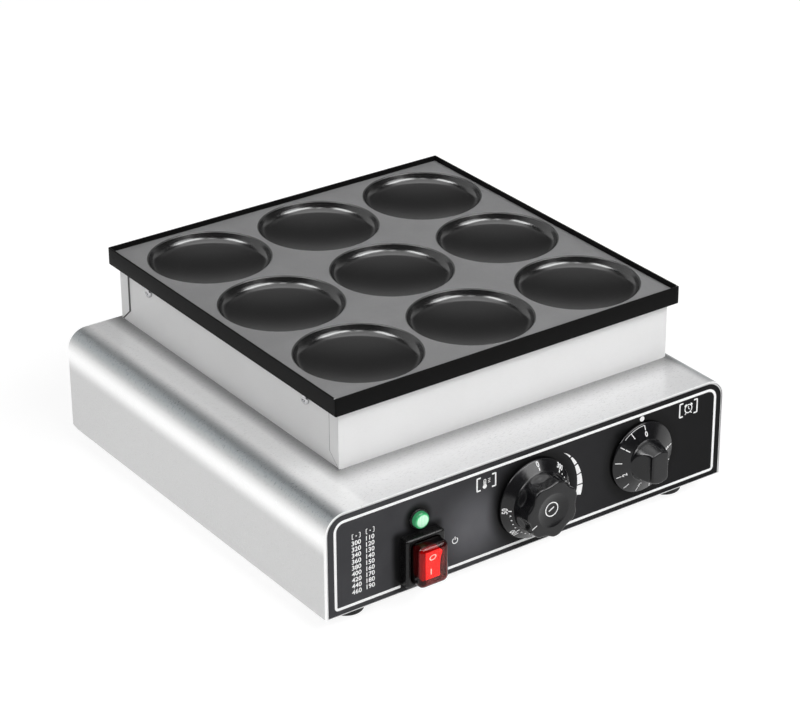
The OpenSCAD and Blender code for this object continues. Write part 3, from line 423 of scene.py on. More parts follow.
def plain_finish(name, colour, roughness, metallic=0.0, spot=2.0, tint=0.12, depth=0.02, **sockets):
    """A solid finish with a fine grain in its colour, gloss and height."""
    made = Finish(name, colour, roughness, metallic, **sockets)
    spots = made.noise(spot)
    made.mottle(spots, tint).polish(spots, 0.05).relief(spots, depth, 0.3)
    return made


def print_finish(name, colour):
    """Printed marks with a faint grain and a faint painted glow."""
    return plain_finish(name, colour, 0.45, spot=0.6, tint=0.04, Specular_IOR_Level=0.2,
                        Emission_Color=(1.0, 1.0, 1.0, 1.0), Emission_Strength=0.08)


# Sizes and colours that a user would change

def length(name, description, millimetres):
    """A length, which Blender holds in metres."""
    return FloatProperty(name=name, description=description, default=millimetres / 1000, min=0.0,
                         precision=4, unit="LENGTH")


def in_millimetres(group):
    """The sizes of a group by name: lengths in millimetres to a thousandth, and counts as they are."""
    values = {name: getattr(group, name) for name in group.__annotations__}
    return SimpleNamespace(**{name: round(value * 1000, 3) if isinstance(value, float) else value
                              for name, value in values.items()})


def strength(name, description, value):
    """A strength of light."""
    return FloatProperty(name=name, description=description, default=value, min=0.0, precision=2)


def tone(name, description, value):
    """A colour, as its red, green and blue shares."""
    return FloatVectorProperty(name=name, description=description, default=value, subtype="COLOR",
                               size=3, min=0.0, max=1.0)


class GriddleSizes(bpy.types.PropertyGroup):
    """Sizes of the cast griddle"""
    pitch: length("Pitch", "Distance between neighbouring hollows", 95.0)
    mouth: length("Mouth", "Radius of a hollow at the cooking surface", 45.0)
    lip: length("Lip", "Radius of the rounded edge of a hollow", 1.5)
    foot: length("Foot", "Radius of the fillet where the wall meets the floor", 7.0)
    wall: length("Wall", "Depth of the leaning wall", 6.5)
    lean: length("Lean", "How far the wall leans inwards", 3.0)
    depth: length("Depth", "Depth of a hollow in its middle", 10.5)
    half: length("Half width", "Half the width of the plate", 147.5)
    rim: length("Rim height", "Height of the rim above the cooking surface", 3.5)


class KnobSizes(bpy.types.PropertyGroup):
    """Sizes of the two knobs"""
    flutes: IntProperty(name="Flutes", description="Number of scoops round the thermostat grip",
                        default=7, min=3, max=12)
    scoop: length("Scoop radius", "Radius of each scoop", 14.0)
    scoop_depth: length("Scoop depth", "How deep a scoop cuts into the grip", 1.9)
    grip: length("Grip radius", "Radius of the thermostat grip at its front", 21.5)
    dish: length("Dish radius", "Radius of the dish in the thermostat grip", 12.5)
    bar_width: length("Bar width", "Width of the timer's bar grip at its front", 14.4)
    bar_length: length("Bar length", "Length of the timer's bar grip at its front", 25.0)


class Colours(bpy.types.PropertyGroup):
    """Colours of the finishes"""
    casing: tone("Casing", "Sheet steel of the base", (0.86, 0.86, 0.865))
    panel: tone("Panels", "Sheet steel of the rear and bottom panels", (0.80, 0.80, 0.805))
    housing: tone("Housing", "Sheet steel of the housing", (0.82, 0.82, 0.82))
    # The two plate colours are a painted sheen on the dark coating
    plate: tone("Plate", "Cooking surface of the griddle at the back", (0.23, 0.23, 0.233))
    plate_front: tone("Plate, front", "Cooking surface of the griddle at the front", (0.26, 0.26, 0.263))
    hollow: tone("Hollow", "Coated hollows of the griddle", (0.008, 0.008, 0.008))
    rim: tone("Rim", "Rim and sides of the griddle", (0.005, 0.005, 0.005))
    knob: tone("Knob", "Moulded knobs", (0.006, 0.006, 0.007))
    label: tone("Label", "Printed front label", (0.006, 0.006, 0.0065))
    ink: tone("Ink", "Printed marks", (0.95, 0.95, 0.95))
    rocker: tone("Rocker", "Lit rocker", (1.0, 0.01, 0.01))
    boot: tone("Boot", "Clear sealing boot", (0.22, 0.006, 0.006))
    lens: tone("Lens", "Indicator lens", (0.02, 0.42, 0.13))


class Studio(bpy.types.PropertyGroup):
    """Strength of the studio light"""
    fill: strength("Fill", "Light from all around", 0.35)
    key: strength("Key", "Radiance of the soft box in front", 5.5)
    side: strength("Side", "Radiance of the soft box on the left", 1.75)
    gloss: strength("Gloss", "Radiance of the soft boxes in gloss", 14.0)


class FinishCad(bpy.types.Operator):
    """Gives every CAD node a finish for its material slot"""
    bl_idname = "pancake.finish_cad"
    bl_label = "Finish the plain parts"

    def execute(self, context):
        colours = context.scene.pancake_colours
        casing = casing_steel(colours.casing)
        panel = brushed_steel("panel_steel", colours.panel, 0.38, stretch=(12, 1, 1), metallic=0.35)
        wires = dict(spot=0.8, tint=0.1)
        made = {
            "brushed_casing": casing,
            "brushed_housing": housing_steel(colours.housing),
            "label_gloss": label_with_painted_light(colours.label),
            "label_print": plain_finish("print_white", colours.ink, 0.45, spot=0.6, tint=0.04,
                                        Specular_IOR_Level=0.2),
            "screw_steel": plain_finish("screw_plated", (0.66, 0.66, 0.67), 0.25,
                                        metallic=1.0, spot=1.5, tint=0.1),
            "foot_rubber": plain_finish("foot_black_rubber", (0.012, 0.012, 0.012), 0.75,
                                        spot=0.8, depth=0.05),
            "nonstick_plate": plain_finish("cast_coating", colours.rim, 0.4),
            "heater_sheath": plain_finish("heater_tube", (0.20, 0.17, 0.15), 0.45,
                                          metallic=0.9, spot=5, tint=0.3),
            "ceramic": plain_finish("bush_ceramic", (0.78, 0.76, 0.70), 0.35, spot=1.2, tint=0.08),
            "shield_aluminium": plain_finish("shield_sheet", (0.80, 0.80, 0.81), 0.35,
                                             metallic=1.0, spot=4, tint=0.08),
            "insulation_wool": plain_finish("pad_wool", (0.74, 0.72, 0.66), 0.95,
                                            spot=1.5, tint=0.25, depth=0.4),
            "copper": plain_finish("tube_copper", (0.72, 0.34, 0.20), 0.3, metallic=1.0, spot=3, tint=0.15),
            "zinc_plate": plain_finish("zinc_sheet", (0.62, 0.63, 0.64), 0.38,
                                       metallic=1.0, spot=6, tint=0.15),
            "brass_contact": plain_finish("blade_brass", (0.72, 0.55, 0.26), 0.3,
                                          metallic=1.0, spot=2, tint=0.12),
            "knob_gloss": plain_finish("moulded_black", colours.knob, 0.16, depth=0.01,
                                       Specular_IOR_Level=0.35),
            "black_nylon": plain_finish("nylon_black", (0.012, 0.012, 0.013), 0.5, spot=0.6, depth=0.03),
            "boot_red": plain_finish("boot_plain_red", (0.4, 0.02, 0.02), 0.2),
            "rocker_red": plain_finish("rocker_plain_red", colours.rocker, 0.25),
            "lens_green": plain_finish("lens_plain_green", colours.lens, 0.15),
            "lead_brown": plain_finish("lead_sleeve_brown", (0.16, 0.055, 0.02), 0.45, **wires),
            "lead_blue": plain_finish("lead_sleeve_blue", (0.02, 0.10, 0.42), 0.45, **wires),
            "lead_green": plain_finish("lead_sleeve_green", (0.05, 0.30, 0.06), 0.45, **wires),
        }
        for name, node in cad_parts.items():
            for socket in node.material_slots:
                slot_name = socket.material.name.split(".")[0]
                flat = slot_name == "brushed_casing" and name != "casing_wrapper"
                socket.material = panel.material if flat else made[slot_name].material
        return {"FINISHED"}


def casing_steel(colour):
    """Steel of the base casing, with painted reflection bands along its bends, the housing's painted
    shadow, and painted highlights on the cut edge and the inner lip at its mouth."""
    casing = brushed_steel("casing_steel", colour, 0.3, stretch=(8, 1, 8), metallic=0.15)
    painted_bend_reflections(casing)
    # Painted shadow round the housing's foot
    casing.paint(shadow_of_housing(casing), (0.04, 0.04, 0.04))
    # Painted highlight on the cut edge at the casing's mouth
    casing.paint(casing.span(casing.y, -0.16785, -0.16795), (0.95, 0.95, 0.95))
    # Painted highlight on the inner lip at the mouth
    lip = casing.times(casing.span(casing.y, -0.1661, -0.1667), casing.span(casing.z, 0.080, 0.074))
    return casing.paint(lip, (0.97, 0.97, 0.97))


def painted_bend_reflections(casing):
    """Painted reflections along the two top edges, over the way round the bend, which is 0 where
    the flat top ends: way = bend x atan2(|x| past the flat top, z past the flat side) + how far z is
    below the flat side's top - how far |x| is inside the flat top's edge. Painted on it: grey on the
    bend and the sides, a white highlight band and grey again further round, a dark reflection band
    where the bend starts, and light on the left of the top next to the bend. The bend and the sides
    are bare metal, the top is duller."""
    top_edge, side_edge = (CASING_HALF - BEND) / 1000, (CASING_TOP - BEND) / 1000
    across = casing.near(casing.x, 0.0)
    turn = casing.maths("ARCTAN2", casing.over(across, top_edge), casing.over(casing.z, side_edge))
    below, inside = casing.over(side_edge, casing.z), casing.over(top_edge, across)
    way = casing.maths("ADD", casing.times(turn, BEND / 1000), casing.maths("SUBTRACT", below, inside))
    bare = casing.span(way, 0.000, 0.0085)
    casing.feed(casing.shader.inputs["Metallic"], casing.maths("ADD", 0.15, casing.times(bare, 0.8)))
    # Painted reflection: grey on the bend and sides, a white highlight band, then grey again
    casing.paint(bare, (0.60, 0.60, 0.60))
    casing.paint(casing.span(way, 0.013, 0.026), (1.0, 1.0, 1.0))
    casing.paint(casing.span(way, 0.027, 0.040), (0.60, 0.60, 0.60))
    # Painted dark reflection band where the bend starts
    dark = casing.times(casing.span(way, -0.004, 0.008), casing.span(way, 0.010, 0.019, 1.0, 0.0))
    casing.paint(dark, (0.32, 0.34, 0.35))
    # Painted light on the top's left strip, next to the bend
    lit = casing.times(casing.span(casing.x, -0.134, -0.140), casing.span(way, -0.006, 0.0, 1.0, 0.0), 0.85)
    casing.paint(lit, (1.0, 1.0, 1.0))


def shadow_of_housing(steel):
    """Painted shadow on the casing's top round the housing's foot: 0.7 at the foot and 0 at 24 mm, over the
    distance from the housing's square in plan, which counts 1.35 times at the sides and 0.85 times in
    front and behind."""
    out = [steel.times(steel.over(steel.near(value, middle / 1000), 0.1418), share)
           for value, middle, share in ((steel.x, PLATE_CENTRE[0], 1.35), (steel.y, PLATE_CENTRE[1], 0.85))]
    near = steel.maths("POWER", steel.span(steel.away(*out), 0.0, 0.024, 1.0, 0.0), 1.7)
    return steel.times(near, 0.70, steel.span(steel.z, 0.0885, 0.0895))


def housing_steel(colour):
    """Steel of the housing, with the dark seams where the corner laps end on its sides. A seam runs
    upright 130.75 mm from the middle and slants to the corner over the lowest 10 mm: |y| = 130.75 + 1.1
    max(0, 100.5 - z)."""
    housing = brushed_steel("housing_steel", colour, 0.5, stretch=(8, 8, 1), metallic=0.15)
    slant = housing.times(housing.over(0.1005, housing.z), 1.1)
    x, y = (housing.near(value, middle / 1000)
            for value, middle in zip((housing.x, housing.y), PLATE_CENTRE))
    off = housing.near(housing.maths("SUBTRACT", y, slant), 0.13075)
    seam = housing.times(housing.span(x, 0.1402, 0.1404), 0.8, housing.span(off, 0.0003, 0.0006, 1.0, 0.0))
    return housing.paint(seam, (0.03, 0.03, 0.03))


def label_with_painted_light(colour):
    """Black film with painted light: a painted reflection that greys it towards the left, a soft painted
    glow left of the thermostat, and painted shadow rings round the controls."""
    label = Finish("label_gloss_black", colour, 0.2, Specular_IOR_Level=0.08)
    dark = (0.004, 0.004, 0.004)
    # Painted reflection, greyer towards the left
    label.paint(label.span(label.x, -0.17, 0.17, 0.9, 0.0), (0.060, 0.060, 0.065))
    # Painted glow left of the thermostat
    label.paint(label.span(label.from_point(-50, 46), 0.003, 0.038, 0.8, 0.0), (0.155, 0.155, 0.167))
    # Painted shadow rings round the thermostat, the timer and the lamp
    for middle, reach in ((THERMOSTAT, 0.030), (TIMER, 0.027), (LAMP_SHADE, 0.0078)):
        label.paint(label.span(label.from_point(*middle), reach, 1.3 * reach + 0.003, 0.92, 0.0), dark)
    # Painted shadow round the switch
    edge = label.away(label.over(label.near(label.x, SWITCH[0] / 1000 - 0.002), 0.0158),
                      label.over(label.near(label.z, SWITCH[1] / 1000), 0.0184))
    label.paint(label.span(edge, 0.001, 0.007, 0.9, 0.0), dark)
    label.mottle(label.noise(30), 0.12).polish(label.noise(6), 0.03)
    return label


# The griddle

CELL_SIDE = 40  # segments along each side of a hollow's square cell
RIM_WIDTH = 1.5  # millimetres


def hollow_cell(sizes):
    """One square cell with its hollow: rows run from the square to the mouth's circle at the same angles,
    then down the rounded lip, the leaning wall and its fillet, and along the floor's sphere to the pole."""
    half = sizes.pitch / 2
    step, edge = np.linspace(-half, half, CELL_SIDE + 1)[:-1], np.full(CELL_SIDE, half)
    sides = ((step, -edge), (edge, step), (-step, edge), (-edge, -step))
    square = np.concatenate([np.stack(side, 1) for side in sides])
    angle = np.arctan2(square[:, 1], square[:, 0])
    foot, sag = sizes.mouth - sizes.lean, sizes.depth - sizes.wall
    ball = (foot ** 2 + sag ** 2) / (2 * sag)
    floor_r = np.linspace(foot - 0.6 * sizes.foot, 0, 15)
    floor_z = -sizes.depth + ball - np.sqrt(ball ** 2 - floor_r ** 2)
    corners = [(sizes.mouth + 2.2, 0), (sizes.mouth, 0), (foot, -sizes.wall), (floor_r[0], floor_z[0])]
    profile = rounded(corners, [sizes.lip, sizes.foot], 7)[1:]
    profile = np.concatenate([profile, np.stack([floor_r[1:], floor_z[1:]], 1)])
    return np.stack([level(square, 0)] + [polar(r, angle, z) for r, z in profile])


def square_ring(half, height, corner):
    """One row of the plate's border: four straight sides of even segments, and at each corner an arc of
    five points round a centre that lies the corner's radius inside."""
    inner = half - corner
    t = np.linspace(-1, 1, 3 * CELL_SIDE + 1)
    turn = np.linspace(0, np.pi / 2, 7)[1:-1]
    sides = []
    for a in np.arange(-1, 3) * np.pi / 2:
        out, along = np.array([math.cos(a), math.sin(a)]), np.array([-math.sin(a), math.cos(a)])
        arc = corner * (np.cos(turn)[:, None] * out + np.sin(turn)[:, None] * along)
        sides += [out * half + t[:, None] * inner * along, (out + along) * inner + arc]
    return level(np.concatenate(sides), height)


def griddle_border(sizes):
    """The flat border, the raised rim with its rounded edges, the outside and the underside down to the
    core. Its first row is the outline of the nine cells, which lie off the plate's middle."""
    rim_in = sizes.half - RIM_WIDTH
    profile = rounded([(rim_in - 0.8, 0), (rim_in, 0), (rim_in + 0.1, sizes.rim), (sizes.half, sizes.rim),
                       (sizes.half, -EDGE_DROP), (CORE_HALF, -EDGE_DROP), (CORE_HALF, -CORE_DROP),
                       (CORE_HALF - 6, -CORE_DROP)], [0.35, 0.4, 0.5, 0.8, 0.6, 0.8], 4)
    corners = np.clip((profile[:, 0] - rim_in) / RIM_WIDTH, 0.2, 1) * 0.9
    rows = [square_ring(1.5 * sizes.pitch, 0, 0.0) + (*HOLLOW_SHIFT, 0)]
    rows += [square_ring(half, z, corner) for (half, z), corner in zip(profile, corners)]
    return np.stack(rows + [rows[-1] * (0, 0, 1)])


def griddle_coating(colours):
    """Coating of the cooking surface: black and smooth in the hollows; rougher on top, where a painted
    sheen makes it grey and lighter towards the front; with pale specks."""
    face = Finish("griddle_coating", colours.hollow, 0.36, Specular_IOR_Level=0.7)
    top = face.span(face.z, 0.14385, 0.14399)
    # Painted sheen on top, lighter towards the front
    face.paint(top, colours.plate)
    face.paint(face.times(face.span(face.y, -0.13, 0.10, 0.5, 0.0), top), colours.plate_front)
    grain = face.noise(0.7)
    face.mottle(grain, 0.10).mottle(face.noise(25), 0.08).relief(grain, 0.012, 0.3)
    face.paint(face.times(face.span(face.noise(1.1, detail=0.0), 0.86, 0.88), top, 0.5), (0.45, 0.45, 0.45))
    rough = face.span(face.z, 0.1425, 0.14399, 0.2, 0.5)
    rough = face.maths("ADD", rough, face.span(grain, 0.3, 0.7, -0.03, 0.03))
    face.feed(face.shader.inputs["Roughness"], rough)
    return face.material


def rim_coating(colours):
    """Black coating of the rim and the sides, with a painted highlight, broken in spots, along the
    inner edge of the rim in front.
    """
    rim = plain_finish("griddle_rim_coating", colours.rim, 0.4, spot=0.8, depth=0.03,
                       Specular_IOR_Level=0.05)
    # Painted highlight along the inner edge of the front rim's top
    edge = rim.span(rim.near(rim.y, -0.1239), 0.0003, 0.0005, 1.0, 0.0)
    painted_rim_highlight = rim.times(edge, rim.span(rim.z, 0.1471, 0.1473), rim.span(rim.noise(2.5), 0.35, 0.5))
    rim.paint(painted_rim_highlight, (0.62, 0.62, 0.62))
    return rim.material


class CastGriddle(bpy.types.Operator):
    """Casts the griddle plate with its nine hollows, rim, core and lugs"""
    bl_idname = "pancake.cast_griddle"
    bl_label = "Cast the griddle"

    def execute(self, context):
        sizes, colours = in_millimetres(context.scene.pancake_griddle), context.scene.pancake_colours
        place, cell = standing(*PLATE_CENTRE, COOK_Z), hollow_cell(sizes)
        shifts = [(HOLLOW_SHIFT[0] + i * sizes.pitch, HOLLOW_SHIFT[1] + j * sizes.pitch, 0)
                  for i in (-1, 0, 1) for j in (-1, 0, 1)]
        patches = [skin(place(cell + shift)) for shift in shifts]
        border = place(griddle_border(sizes))
        patches += [skin(border[:2]), skin(border[1:], 1)]
        half_lug, bevel = 5.5, 0.8
        outline = round_box(half_lug, 8.0, 1.2, 3, 3)
        lug = loft([(outline * 0, -LUG_DROP), (outline * 0.92, -LUG_DROP), (outline, bevel - LUG_DROP),
                    (outline, -CORE_DROP), (outline * 0, -CORE_DROP)])
        for sign in (-1, 1):
            for side in (-1, 1):
                shift = (sign * (CORE_HALF - half_lug), side * SIDE_SCREW_Y, 0)
                patches.append(skin(place(lug + shift), 1))
        finishes = [griddle_coating(colours), rim_coating(colours)]
        make_piece("griddle_casting", patches, finishes, "base", ["griddle_plate"], 38)
        return {"FINISHED"}


# Fasteners

def cross_head(head_r, head_h, shank_r, shank_l, segments=48):
    """Domed screw head with a cross recess: height = dome - recess, where the recess is deepest where
    either arm's cross distance is small and fades with the radius."""
    r = np.concatenate([np.linspace(0, 0.62, 11), [0.72, 0.84, 0.93, 0.98, 1.0]])[:, None] * head_r
    a = (np.arange(segments) * 2 * np.pi / segments)[None]
    u, v = r * np.cos(a), r * np.sin(a)
    dome = head_h * (0.35 + 0.65 * np.sqrt(np.clip(1 - (r / head_r) ** 2.4, 0, 1)))
    arm = np.minimum(np.abs(u), np.abs(v))
    across = np.clip(1 - arm / (0.17 * head_r), 0, 1) ** 0.4
    outwards = np.clip(1.15 - r / (0.55 * head_r), 0, 1) ** 0.5
    w = dome - 0.55 * head_h * across * outwards
    top = np.stack([u, v, w], -1)
    rest = revolve([(head_r, 0), (shank_r, 0), (shank_r, -shank_l), (0, -shank_l)], segments)
    return skin(np.concatenate([top, rest]))


class FitScrews(bpy.types.Operator):
    """Fits domed cross screws at the plate's sides and under the base"""
    bl_idname = "pancake.fit_screws"
    bl_label = "Fit the screws"

    def execute(self, context):
        steel = plain_finish("screw_bright", (0.52, 0.52, 0.53), 0.08, metallic=1.0, spot=1.5, tint=0.06)
        side = []
        for sign in (-1, 1):
            for t in (-sign, sign):
                x, y = PLATE_CENTRE[0] + sign * SIDE_PLATE_X, PLATE_CENTRE[1] + t * SIDE_SCREW_Y
                side.append(moved(cross_head(3.9, 2.6, 2.0, 8.0), on_side(sign, x, y, SIDE_SCREW_Z)))
        make_piece("side_screws", side, [steel.material], "base", ["plate_side_screws"], 35)
        base = [moved(cross_head(3.0, 2.0, 1.5, 5.0, 32), hanging(x, y, UNDERSIDE_Z))
                for x, y in self.base_centres()]
        make_piece("underside_screws", base, [steel.material], "base", ["base_screws"], 35)
        return {"FINISHED"}

    def base_centres(self):
        """Middles of the ten base screws: the lowest points of their node that lie within 8 mm are one."""
        points = points_of(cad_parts["base_screws"].data) * 1000
        low = points[points[:, 2] < points[:, 2].min() + 0.01, :2]
        centres = []
        while len(low):
            near = np.linalg.norm(low - low[0], axis=1) < 8
            centres.append((low[near].min(0) + low[near].max(0)) / 2)
            low = low[~near]
        if len(centres) != 10:
            raise RuntimeError("the base has %d screws, not 10" % len(centres))
        return centres


# The knobs

SKIRT_THERMOSTAT = rounded([(0, 0), (30, 0), (30, 1.7), (22.7, 6.9), (22.4, 8.2)], [0.5, 1.6, 0.9], 5)
SKIRT_TIMER = rounded([(0, 0), (27, 0), (27, 1.4), (15.9, 6.0), (15.4, 6.8)], [0.4, 1.3, 0.6], 5)

# Heights of the grips, radii of their front edges and of the dish's lip, and its depth, in millimetres
THERMOSTAT_TOP, TIMER_TOP = 22.0, 21.0
GRIP_EDGE, BAR_EDGE, DISH_LIP = 1.3, 1.2, 1.6
DISH_DEPTH = 2.4


def skirt_height(profile):
    """Height of a skirt over its radius, read off the profile's outer slope."""
    slope = profile[np.argmax(profile[:, 0]) + 1:]
    slope = slope[np.argsort(slope[:, 0])]
    return lambda r: np.interp(r, slope[:, 0], slope[:, 1])


def fluted_grip(sizes, bottom):
    """Angles, heights and radii of the grip. A scoop is a circle outside it:
    radius = c cos a - sqrt(s^2 - (c sin a)^2), with c = grip + s - depth. It takes over from the round
    grip by a soft minimum, and fades out towards the skirt."""
    columns = 48 * sizes.flutes
    turn = np.arange(columns) * 2 * np.pi / columns
    pitch = 2 * np.pi / sizes.flutes
    a = (turn - math.radians(100) + pitch / 2) % pitch - pitch / 2
    height = np.linspace(bottom, THERMOSTAT_TOP - GRIP_EDGE, 22)[:, None]
    round_r = sizes.grip + 0.9 * ((THERMOSTAT_TOP - height) / (THERMOSTAT_TOP - bottom))
    c = sizes.grip + sizes.scoop - sizes.scoop_depth
    under = np.clip(sizes.scoop ** 2 - (c * np.sin(a)) ** 2, 0, None)
    scoop_r = np.where(under > 0, c * np.cos(a) - np.sqrt(under), c)[None]
    soft = 0.9
    both = -soft * np.logaddexp(-round_r / soft, -scoop_r / soft)
    s = np.clip((height - bottom) / 5.5, 0, 1)
    share = s * s * (3 - 2 * s)
    return turn, height[:, 0], round_r * (1 - share) + both * share


def thermostat_rows(sizes):
    """Rows of the thermostat knob: skirt, scooped grip, its front edge as a quarter circle, the flat
    front, the dish's round lip, and the dish, whose height grows with the square of the radius. Gives the
    height of its floor as well."""
    top = THERMOSTAT_TOP
    turn, heights, grip = fluted_grip(sizes, SKIRT_THERMOSTAT[-1, 1])
    rows = [polar(r, turn, h) for r, h in SKIRT_THERMOSTAT[:-1]]
    rows += [polar(r, turn, h) for r, h in zip(grip, heights)]
    for t in np.radians(np.linspace(15, 90, 6)):
        height = top - GRIP_EDGE * (1 - math.sin(t))
        rows.append(polar(grip[-1] - GRIP_EDGE * (1 - math.cos(t)), turn, height))
    front, mouth = grip[-1] - GRIP_EDGE, sizes.dish + DISH_LIP / 2
    rows += [polar(front * (1 - t) + mouth * t, turn, top) for t in (0.3, 0.65, 1.0)]
    for t in np.radians(np.linspace(10, 28, 3)):
        rows.append(polar(mouth - DISH_LIP * math.sin(t), turn, top - DISH_LIP * (1 - math.cos(t))))
    start, lip = np.linalg.norm(rows[-1][0, :2]), rows[-1][0, 2]
    rows += [polar(start * t, turn, lip - DISH_DEPTH * (1 - t ** 2)) for t in np.linspace(0.93, 0, 12)]
    return np.stack(rows), lip - DISH_DEPTH


class MouldThermostat(bpy.types.Operator):
    """Moulds the thermostat knob with its skirt, scooped grip and dish, and prints its numbers"""
    bl_idname = "pancake.mould_thermostat"
    bl_label = "Mould the thermostat knob"

    def execute(self, context):
        colours = context.scene.pancake_colours
        gloss = knob_finish("thermostat_gloss", colours.knob)
        ink = print_finish("dial_ink", colours.ink)
        rows, floor = thermostat_rows(in_millimetres(context.scene.pancake_knobs))
        place = on_front(*THERMOSTAT, LABEL_Y - SKIRT_BACK)
        make_piece("thermostat_grip", [skin(place(rows))], [gloss.material], "thermostat_dial",
                   ["thermostat_knob"], 30)

        heights = skirt_height(SKIRT_THERMOSTAT)
        numbers, ticks, dots = 27.6, 24.7, 24.6
        marks = []
        for k in range(7):
            angle = 90 if k == 0 else 135 + 45 * k
            marks.append(moved(lettering(str(50 * k), 3.2, DIAL_INK), around_dial(angle, numbers, heights)))
            tick = ribbon([(0, -0.9), (0, 0), (0, 0.9)], 0.85, 0.0, DIAL_INK)
            marks.append(moved(tick, around_dial(angle, ticks, heights)))
            if 0 < k < 6:
                marks += [moved(disc(0.5, 0.0, DIAL_INK, 12), around_dial(angle + 9 * j, dots, heights))
                          for j in (1, 2, 3, 4)]
        marks.append(ribbon(arc_path(5.2, 0, 354, 6), 0.75, floor + 0.36, floor + 0.56, closed=True))
        marks.append(ribbon([(-2.2, -1.2), (0, 0), (2.2, 1.2)], 0.9, floor, floor + 0.18))
        # A thin pale stroke on the grip's front, low on the left
        pale_stroke = [(-18.3, -9.2), (-16.2, -8.15), (-14.1, -7.1)]
        marks.append(ribbon(pale_stroke, 0.6, THERMOSTAT_TOP - 0.02, THERMOSTAT_TOP + 0.05))
        make_piece("thermostat_marks", [moved(mark, place) for mark in marks], [ink.material],
                   "thermostat_dial")
        return {"FINISHED"}


def knob_finish(name, colour):
    """Gloss black moulding with a faint flow mottle and fine scratches in its gloss."""
    made = Finish(name, colour, 0.2, Specular_IOR_Level=0.4)
    made.mottle(made.noise(9), 0.3).polish(made.noise(1.6), 0.05).relief(made.noise(0.8), 0.012, 0.25)
    return made


def bar_section(end, flank):
    """Outline of the bar grip at one height: the smaller of the end radius and flank / |cos a|, by a soft
    minimum. The angles gather at the edge between end and flank, cos a = flank / end, so that edge runs
    along one column."""
    edge = math.acos(min(0.995, flank / end))
    t = np.linspace(0, 1, 13)[:-1]
    quarter = np.concatenate([edge * t ** 0.7, edge + (np.pi / 2 - edge) * t ** 1.5])
    back = np.pi - np.append(quarter[1:], np.pi / 2)[::-1]
    a = np.concatenate([quarter, back, quarter + np.pi, back + np.pi])
    side = np.minimum(flank / np.maximum(np.abs(np.cos(a)), 1e-3), end + 8)
    soft = 0.25
    r = end - soft * np.log(1 + np.exp((end - side) / soft))
    return np.stack([r * np.cos(a), r * np.sin(a)], 1)


def timer_rows(sizes):
    """Rows of the timer knob: skirt, the round root that turns into the bar, the bar's front edge as a
    quarter circle, and its front."""
    half, reach, shoulder = sizes.bar_width / 2, sizes.bar_length / 2, TIMER_TOP - BAR_EDGE
    root_r, root_h = SKIRT_TIMER[-1]
    base = bar_section(root_r, root_r)
    base /= np.linalg.norm(base, axis=1)[:, None]
    rows = [(base * r, h) for r, h in SKIRT_TIMER]
    for t in np.linspace(0.04, 1, 18):
        end, flank = root_r + (reach - root_r) * t, half + (root_r - half) * (1 - t) ** 1.6
        rows.append((bar_section(end, flank), root_h + (shoulder - root_h) * t))
    for t in np.radians(np.linspace(18, 90, 5)):
        inset = BAR_EDGE * (1 - math.cos(t))
        rows.append((bar_section(reach - inset, half - inset), shoulder + BAR_EDGE * math.sin(t)))
    return loft(rows + [(rows[-1][0] * t, TIMER_TOP) for t in (0.6, 0.3, 0.0)])


class MouldTimer(bpy.types.Operator):
    """Moulds the timer knob, whose round root turns into a bar, and prints its numbers"""
    bl_idname = "pancake.mould_timer"
    bl_label = "Mould the timer knob"

    def execute(self, context):
        colours = context.scene.pancake_colours
        gloss = knob_finish("timer_gloss", colours.knob)
        ink = print_finish("timer_ink", colours.ink)
        rows = timer_rows(in_millimetres(context.scene.pancake_knobs))
        place = on_front(*TIMER, LABEL_Y - SKIRT_BACK)
        make_piece("timer_grip", [skin(place(rows))], [gloss.material], "timer_dial",
                   ["timer_knob"], 30)

        heights = skirt_height(SKIRT_TIMER)
        numbers, edge, step = 19.8, 25.6, 27.7
        marks = []
        for k in range(11):
            angle, reach = 90 + step * k, 3.4 if k % 2 == 0 else 4.6
            tick = ribbon([(0, -reach / 2), (0, 0), (0, reach / 2)], 0.62, 0.0, DIAL_INK)
            marks.append(moved(tick, around_dial(angle, edge - reach / 2, heights)))
            if k % 2 == 0:
                number = lettering(str(k // 2), 3.4, DIAL_INK)
                marks.append(moved(number, around_dial(angle, numbers, heights)))
        # Painted highlight: a thin ink arc on the skirt's edge, from 90 to 132 degrees
        marks.append(moved(ribbon(arc_path(edge, 90, 132), 0.25, 0.0, DIAL_INK), on_skirt(heights)))
        make_piece("timer_marks", [moved(mark, place) for mark in marks], [ink.material],
                   "timer_dial")
        return {"FINISHED"}


# The switch and the lamp

def boot_skin(half_u, half_v, corner, shoulder, width, rise, least):
    """One skin of the sealing boot: upright sides up to the shoulder, a quarter turn of a width and a
    rise, and a front that swells by half a millimetre. The corner's radius shrinks over the turn down to
    a least one."""
    rows = [(round_box(half_u, half_v, corner), z) for z in (4.5, shoulder)]
    for t in np.radians(np.linspace(12, 90, 8)):
        inset = width * (1 - math.cos(t))
        outline = round_box(half_u - inset, half_v - inset, max(corner - 0.3 * inset, least))
        rows.append((outline, shoulder + rise * math.sin(t)))
    return rows + [(outline * t, shoulder + rise + 0.5 * (1 - t ** 2)) for t in (0.75, 0.5, 0.25, 0.0)]


